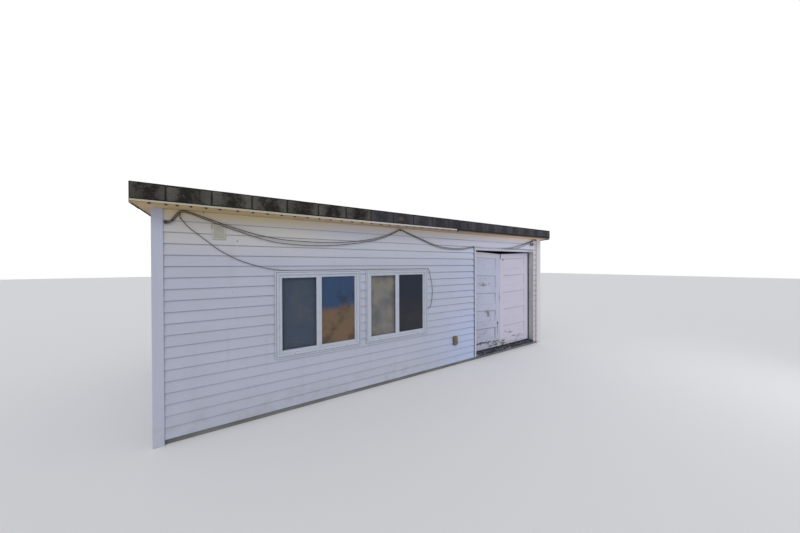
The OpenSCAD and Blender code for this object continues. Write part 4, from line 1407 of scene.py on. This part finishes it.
def make_outlet_cover():
    """A weather cover: a base plate, a deep rounded lid with ribs, its hinge and its latch."""
    low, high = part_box("outlet_cover")
    centre = (low + high) / 2
    wall_y = high.y

    def loops(table):
        return [[(centre.x + x, wall_y - depth, centre.z + z)
                 for x, z in rounded(high.x - low.x - 2 * inset, high.z - low.z - 2 * inset, radius)]
                for inset, depth, radius in table]

    shape = Shape()
    shape.loft(loops(PLATE_LOOPS))
    shape.loft(loops(LID_LOOPS), 0, 0.3)
    for share in LID_RIBS:
        x = between(low.x, high.x, share)
        shape.box((x - 0.0025, low.y - 0.0002, low.z + 0.045),
                  (x + 0.0025, low.y + 0.004, high.z - 0.045), 0, 0.6)
    hinge_y, hinge_z = wall_y - 0.012, high.z - 0.004
    shape.rod((low.x + 0.03, hinge_y, hinge_z), (high.x - 0.03, hinge_y, hinge_z), 0.005)
    shape.box((centre.x - 0.012, wall_y - 0.022, low.z + 0.001),
              (centre.x + 0.012, wall_y - 0.008, low.z + 0.010))
    shape.piece("outlet_lid", [OUTLET], replaces=("outlet_cover",), slot="outlet_tan", smooth=True)


# Ties round both cables: place, slope of the cables there, and number of turns
TIES = [(3.236, 2.542, 0.26, 4), (1.240, 2.338, 0.0, 2), (-0.520, 2.567, 0.0, 2), (-3.452, 2.485, 0.95, 2)]
TIE_RADIUS = 0.0022
TIE_PITCH = 0.006
TIE_HALF_DEPTH = 0.0085
TIE_HALF_H = 0.0155
# Loops of spare tie wire that hang from the tie at the right: middle, half width, half height and thickness
SPARE_LOOPS = [(3.232, 2.492, 0.050, 0.056, 0.0040), (3.240, 2.486, 0.044, 0.052, 0.0040),
               (3.236, 2.500, 0.038, 0.044, 0.0036), (3.240, 2.466, 0.026, 0.022, 0.0080)]
# How far the first loop stands before the cables, and each next one before the last
LOOP_SET = 0.010
LOOP_PITCH = 0.007
# Spare wire that hangs just below the cables at the right: points of (x, height) in metres
SPARE_RUNS = [
    [(2.150, 2.327), (2.420, 2.324), (2.640, 2.343), (2.860, 2.398), (3.050, 2.456), (3.205, 2.508)],
    [(2.300, 2.331), (2.520, 2.334), (2.700, 2.364), (2.860, 2.411), (3.050, 2.469), (3.200, 2.514)],
]
SPARE_RADIUS = 0.0028
WIRE_SIDES = 8
WIRE_STEPS = 28


def make_knots():
    """Turns of wire that bind the two cables together, and the spare wire at the right end."""
    y = FRONT_Y - CABLE_STAND_OFF
    shape = Shape()

    def section(centre, out, side, radius):
        return [centre + radius * (math.cos(b) * out + math.sin(b) * side) for b in turns(WIRE_SIDES)]

    for x, z, tilt, count in TIES:
        for k in range(count):
            shift = (k - (count - 1) / 2) * TIE_PITCH
            loops = []
            for a in turns(WIRE_STEPS):
                reach = Vector((0, TIE_HALF_DEPTH * math.cos(a), TIE_HALF_H * math.sin(a)))
                centre = Vector((x + shift * math.cos(tilt), y, z + shift * math.sin(tilt))) + reach
                out = Vector((0, math.cos(a), math.sin(a)))
                loops.append(section(centre, out, Vector((1, 0, 0)), TIE_RADIUS))
            shape.loft(loops, ring=True)
    for k, (x, z, half_w, half_h, radius) in enumerate(SPARE_LOOPS):
        depth = y - LOOP_SET - LOOP_PITCH * k
        loops = []
        for a in turns(WIRE_STEPS):
            centre = Vector((x + half_w * math.cos(a), depth, z + half_h * math.sin(a)))
            out = Vector((math.cos(a) / half_w, 0, math.sin(a) / half_h)).normalized()
            loops.append(section(centre, out, Vector((0, 1, 0)), radius))
        shape.loft(loops, ring=True)
    for run in SPARE_RUNS:
        points = smooth_route([Vector((x, y, z)) for x, z in run])
        shape.loft([section(p, Vector((0, 0, 1)), Vector((0, 1, 0)), SPARE_RADIUS) for p in points], 1)
    shape.piece("cable_ties", [DARK_STEEL, SPARE_WIRE], slot="dark_steel", smooth=True)


# The pale block on the siding at the left: left, right, bottom, top. Its lower part is a guess.
BLOCK_SPAN = (-3.100, -2.974, 2.284, 2.456)
BLOCK_PROUD = 0.006
BLOCK_SUNK = 0.010
BLOCK_RIM = 0.014


def make_mounting_block():
    """A flat vinyl block with a raised rim, let into the siding."""
    left, right, bottom, top = BLOCK_SPAN
    front, back = FRONT_Y - BLOCK_PROUD, FRONT_Y + BLOCK_SUNK
    x0, x1, z0, z1 = left + BLOCK_RIM, right - BLOCK_RIM, bottom + BLOCK_RIM, top - BLOCK_RIM
    shape = Shape()
    shape.box((x0, FRONT_Y - BLOCK_PROUD / 2, z0), (x1, back, z1))
    rims = ((left, x0, bottom, top), (x1, right, bottom, top), (x0, x1, bottom, z0), (x0, x1, z1, top))
    for a0, a1, b0, b1 in rims:
        shape.box((a0, front, b0), (a1, back, b1), 1)
    # A near-black box of painted shadow at the top of the block's left edge.
    shape.box((left - 0.005, FRONT_Y + 0.002, top - 0.055), (left, back, top - 0.002), 2)
    looks = [BLOCK_VINYL, BLOCK_RIM_HIGHLIGHT, GAP_SHADOW]
    shape.piece("mounting_block", looks, slot="white_vinyl", bevel=0.0008)


def dress_nodes():
    """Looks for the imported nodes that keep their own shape."""
    dress("foundation", CONCRETE, 0.006)
    for node in ("front_wall", "front_wall_header", "front_wall_pier", "back_wall",
                 "left_end_wall", "right_end_wall", "door_stop_post"):
        dress(node, WALL_WOOD)
    dress("roof_deck", ROOF_WOOD)
    dress("soffit", SOFFIT_PAINT)
    dress("corner_posts", POST_VINYL, 0.0012)
    dress("hinge_post", HINGE_POST_WOOD, 0.002)
    dress("doorway_lining", LINING, 0.0015)
    dress("doorway_trim", DOORWAY_VINYL, 0.001)
    glass, screen = glass_look(), screen_look()
    for number in (1, 2):
        dress(f"window_{number}_panes", glass)
        dress(f"window_{number}_screen", screen)
    for node in ("fixed_hinges", "left_leaf_hinges", "right_leaf_hinges", "cable_hooks"):
        dress(node, DARK_STEEL, 0.0008)
    dress("door_bolt", BOLT_STEEL, 0.0008)


# Stage: a pale floor, white surroundings and soft light

STAGE_HALF = 60
WORLD_LIGHT = 0.66
WORLD_TINT = (0.93, 0.96, 1.0)
SUN_LIGHT = 0.72
SUN_TINT = (1.0, 0.985, 0.96)
SUN_ANGLE = math.radians(35)
SUN_TOWARDS = (0.35, 0.62, -0.75)
FILL_LIGHT = 24
FILL_TINT = (0.97, 0.96, 1.0)
FILL_SIZE = 3.0
FILL_FROM = (4.6, -6.4, 2.4)
FILL_TO = (3.0, -1.8, 1.8)


def make_stage():
    """The paper floor, a world that looks white and lights softly, a sun and a lamp before the doorway."""
    mesh = bpy.data.meshes.new("floor")
    corners = ((-1, -1), (1, -1), (1, 1), (-1, 1))
    mesh.from_pydata([(x * STAGE_HALF, y * STAGE_HALF, -0.001) for x, y in corners], [], [(0, 1, 2, 3)])
    floor = add_object("stage_floor", mesh)
    mesh.materials.append(Look("stage_paper", (0.80, 0.80, 0.81), roughness=0.9, specular=0.1).done())
    floor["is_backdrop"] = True

    world = bpy.data.worlds.new("studio")
    bpy.context.scene.world = world
    world.use_nodes = True
    tree = world.node_tree
    light = tree.nodes["Background"]
    give(tree, light.inputs["Color"], WORLD_TINT)
    give(tree, light.inputs["Strength"], WORLD_LIGHT)
    seen = add_node(tree, "Background", {"Color": (1, 1, 1)})
    rays = add_node(tree, "LightPath", {}).outputs
    white = rays["Is Transmission Ray"]
    for kind in ("Is Glossy Ray", "Is Camera Ray"):
        white = add_node(tree, "Math", {0: rays[kind], 1: white}, operation="MAXIMUM").outputs[0]
    choose = add_node(tree, "MixShader", {0: white, 1: light.outputs[0], 2: seen.outputs[0]})
    give(tree, tree.nodes["World Output"].inputs["Surface"], choose.outputs[0])

    lamp = bpy.data.lights.new("soft_sun", "SUN")
    lamp.energy = SUN_LIGHT
    lamp.angle = SUN_ANGLE
    lamp.color = SUN_TINT
    aim(add_object("soft_sun", lamp), SUN_TOWARDS)

    panel = bpy.data.lights.new("doorway_fill", "AREA")
    panel.size = FILL_SIZE
    panel.energy = FILL_LIGHT
    panel.color = FILL_TINT
    fill = add_object("doorway_fill", panel)
    fill.location = FILL_FROM
    aim(fill, Vector(FILL_TO) - Vector(FILL_FROM))
    fill.visible_glossy = False


make_camera()
CABLE_LOOK = cable_look()
for name, node, route, stand_off, radius, stiffness in CABLES:
    make_cable(name, node, route, FRONT_Y - stand_off, radius, stiffness, CABLE_LOOK)
make_siding()
make_bands()
make_roof_top()
make_eave_strip()
for window in (1, 2):
    make_window(window)
make_leaf("left_door_leaf", "left_door", "left_leaf_boards", 1, 41, LEFT_PANEL_SHADE_AND_DIRT, LEFT_LEAF_LIFT)
make_leaf("right_door_leaf", "right_door", "right_leaf_boards", -1, 43, RIGHT_PANEL_SHADE_AND_DIRT)
make_sill()
make_floor()
make_outlet_cover()
make_knots()
make_mounting_block()
dress_nodes()
make_stage()

bpy.context.scene.view_settings.view_transform = "Standard"
[[list(corner) for corner in box] for box in (CAD_BOX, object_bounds())]
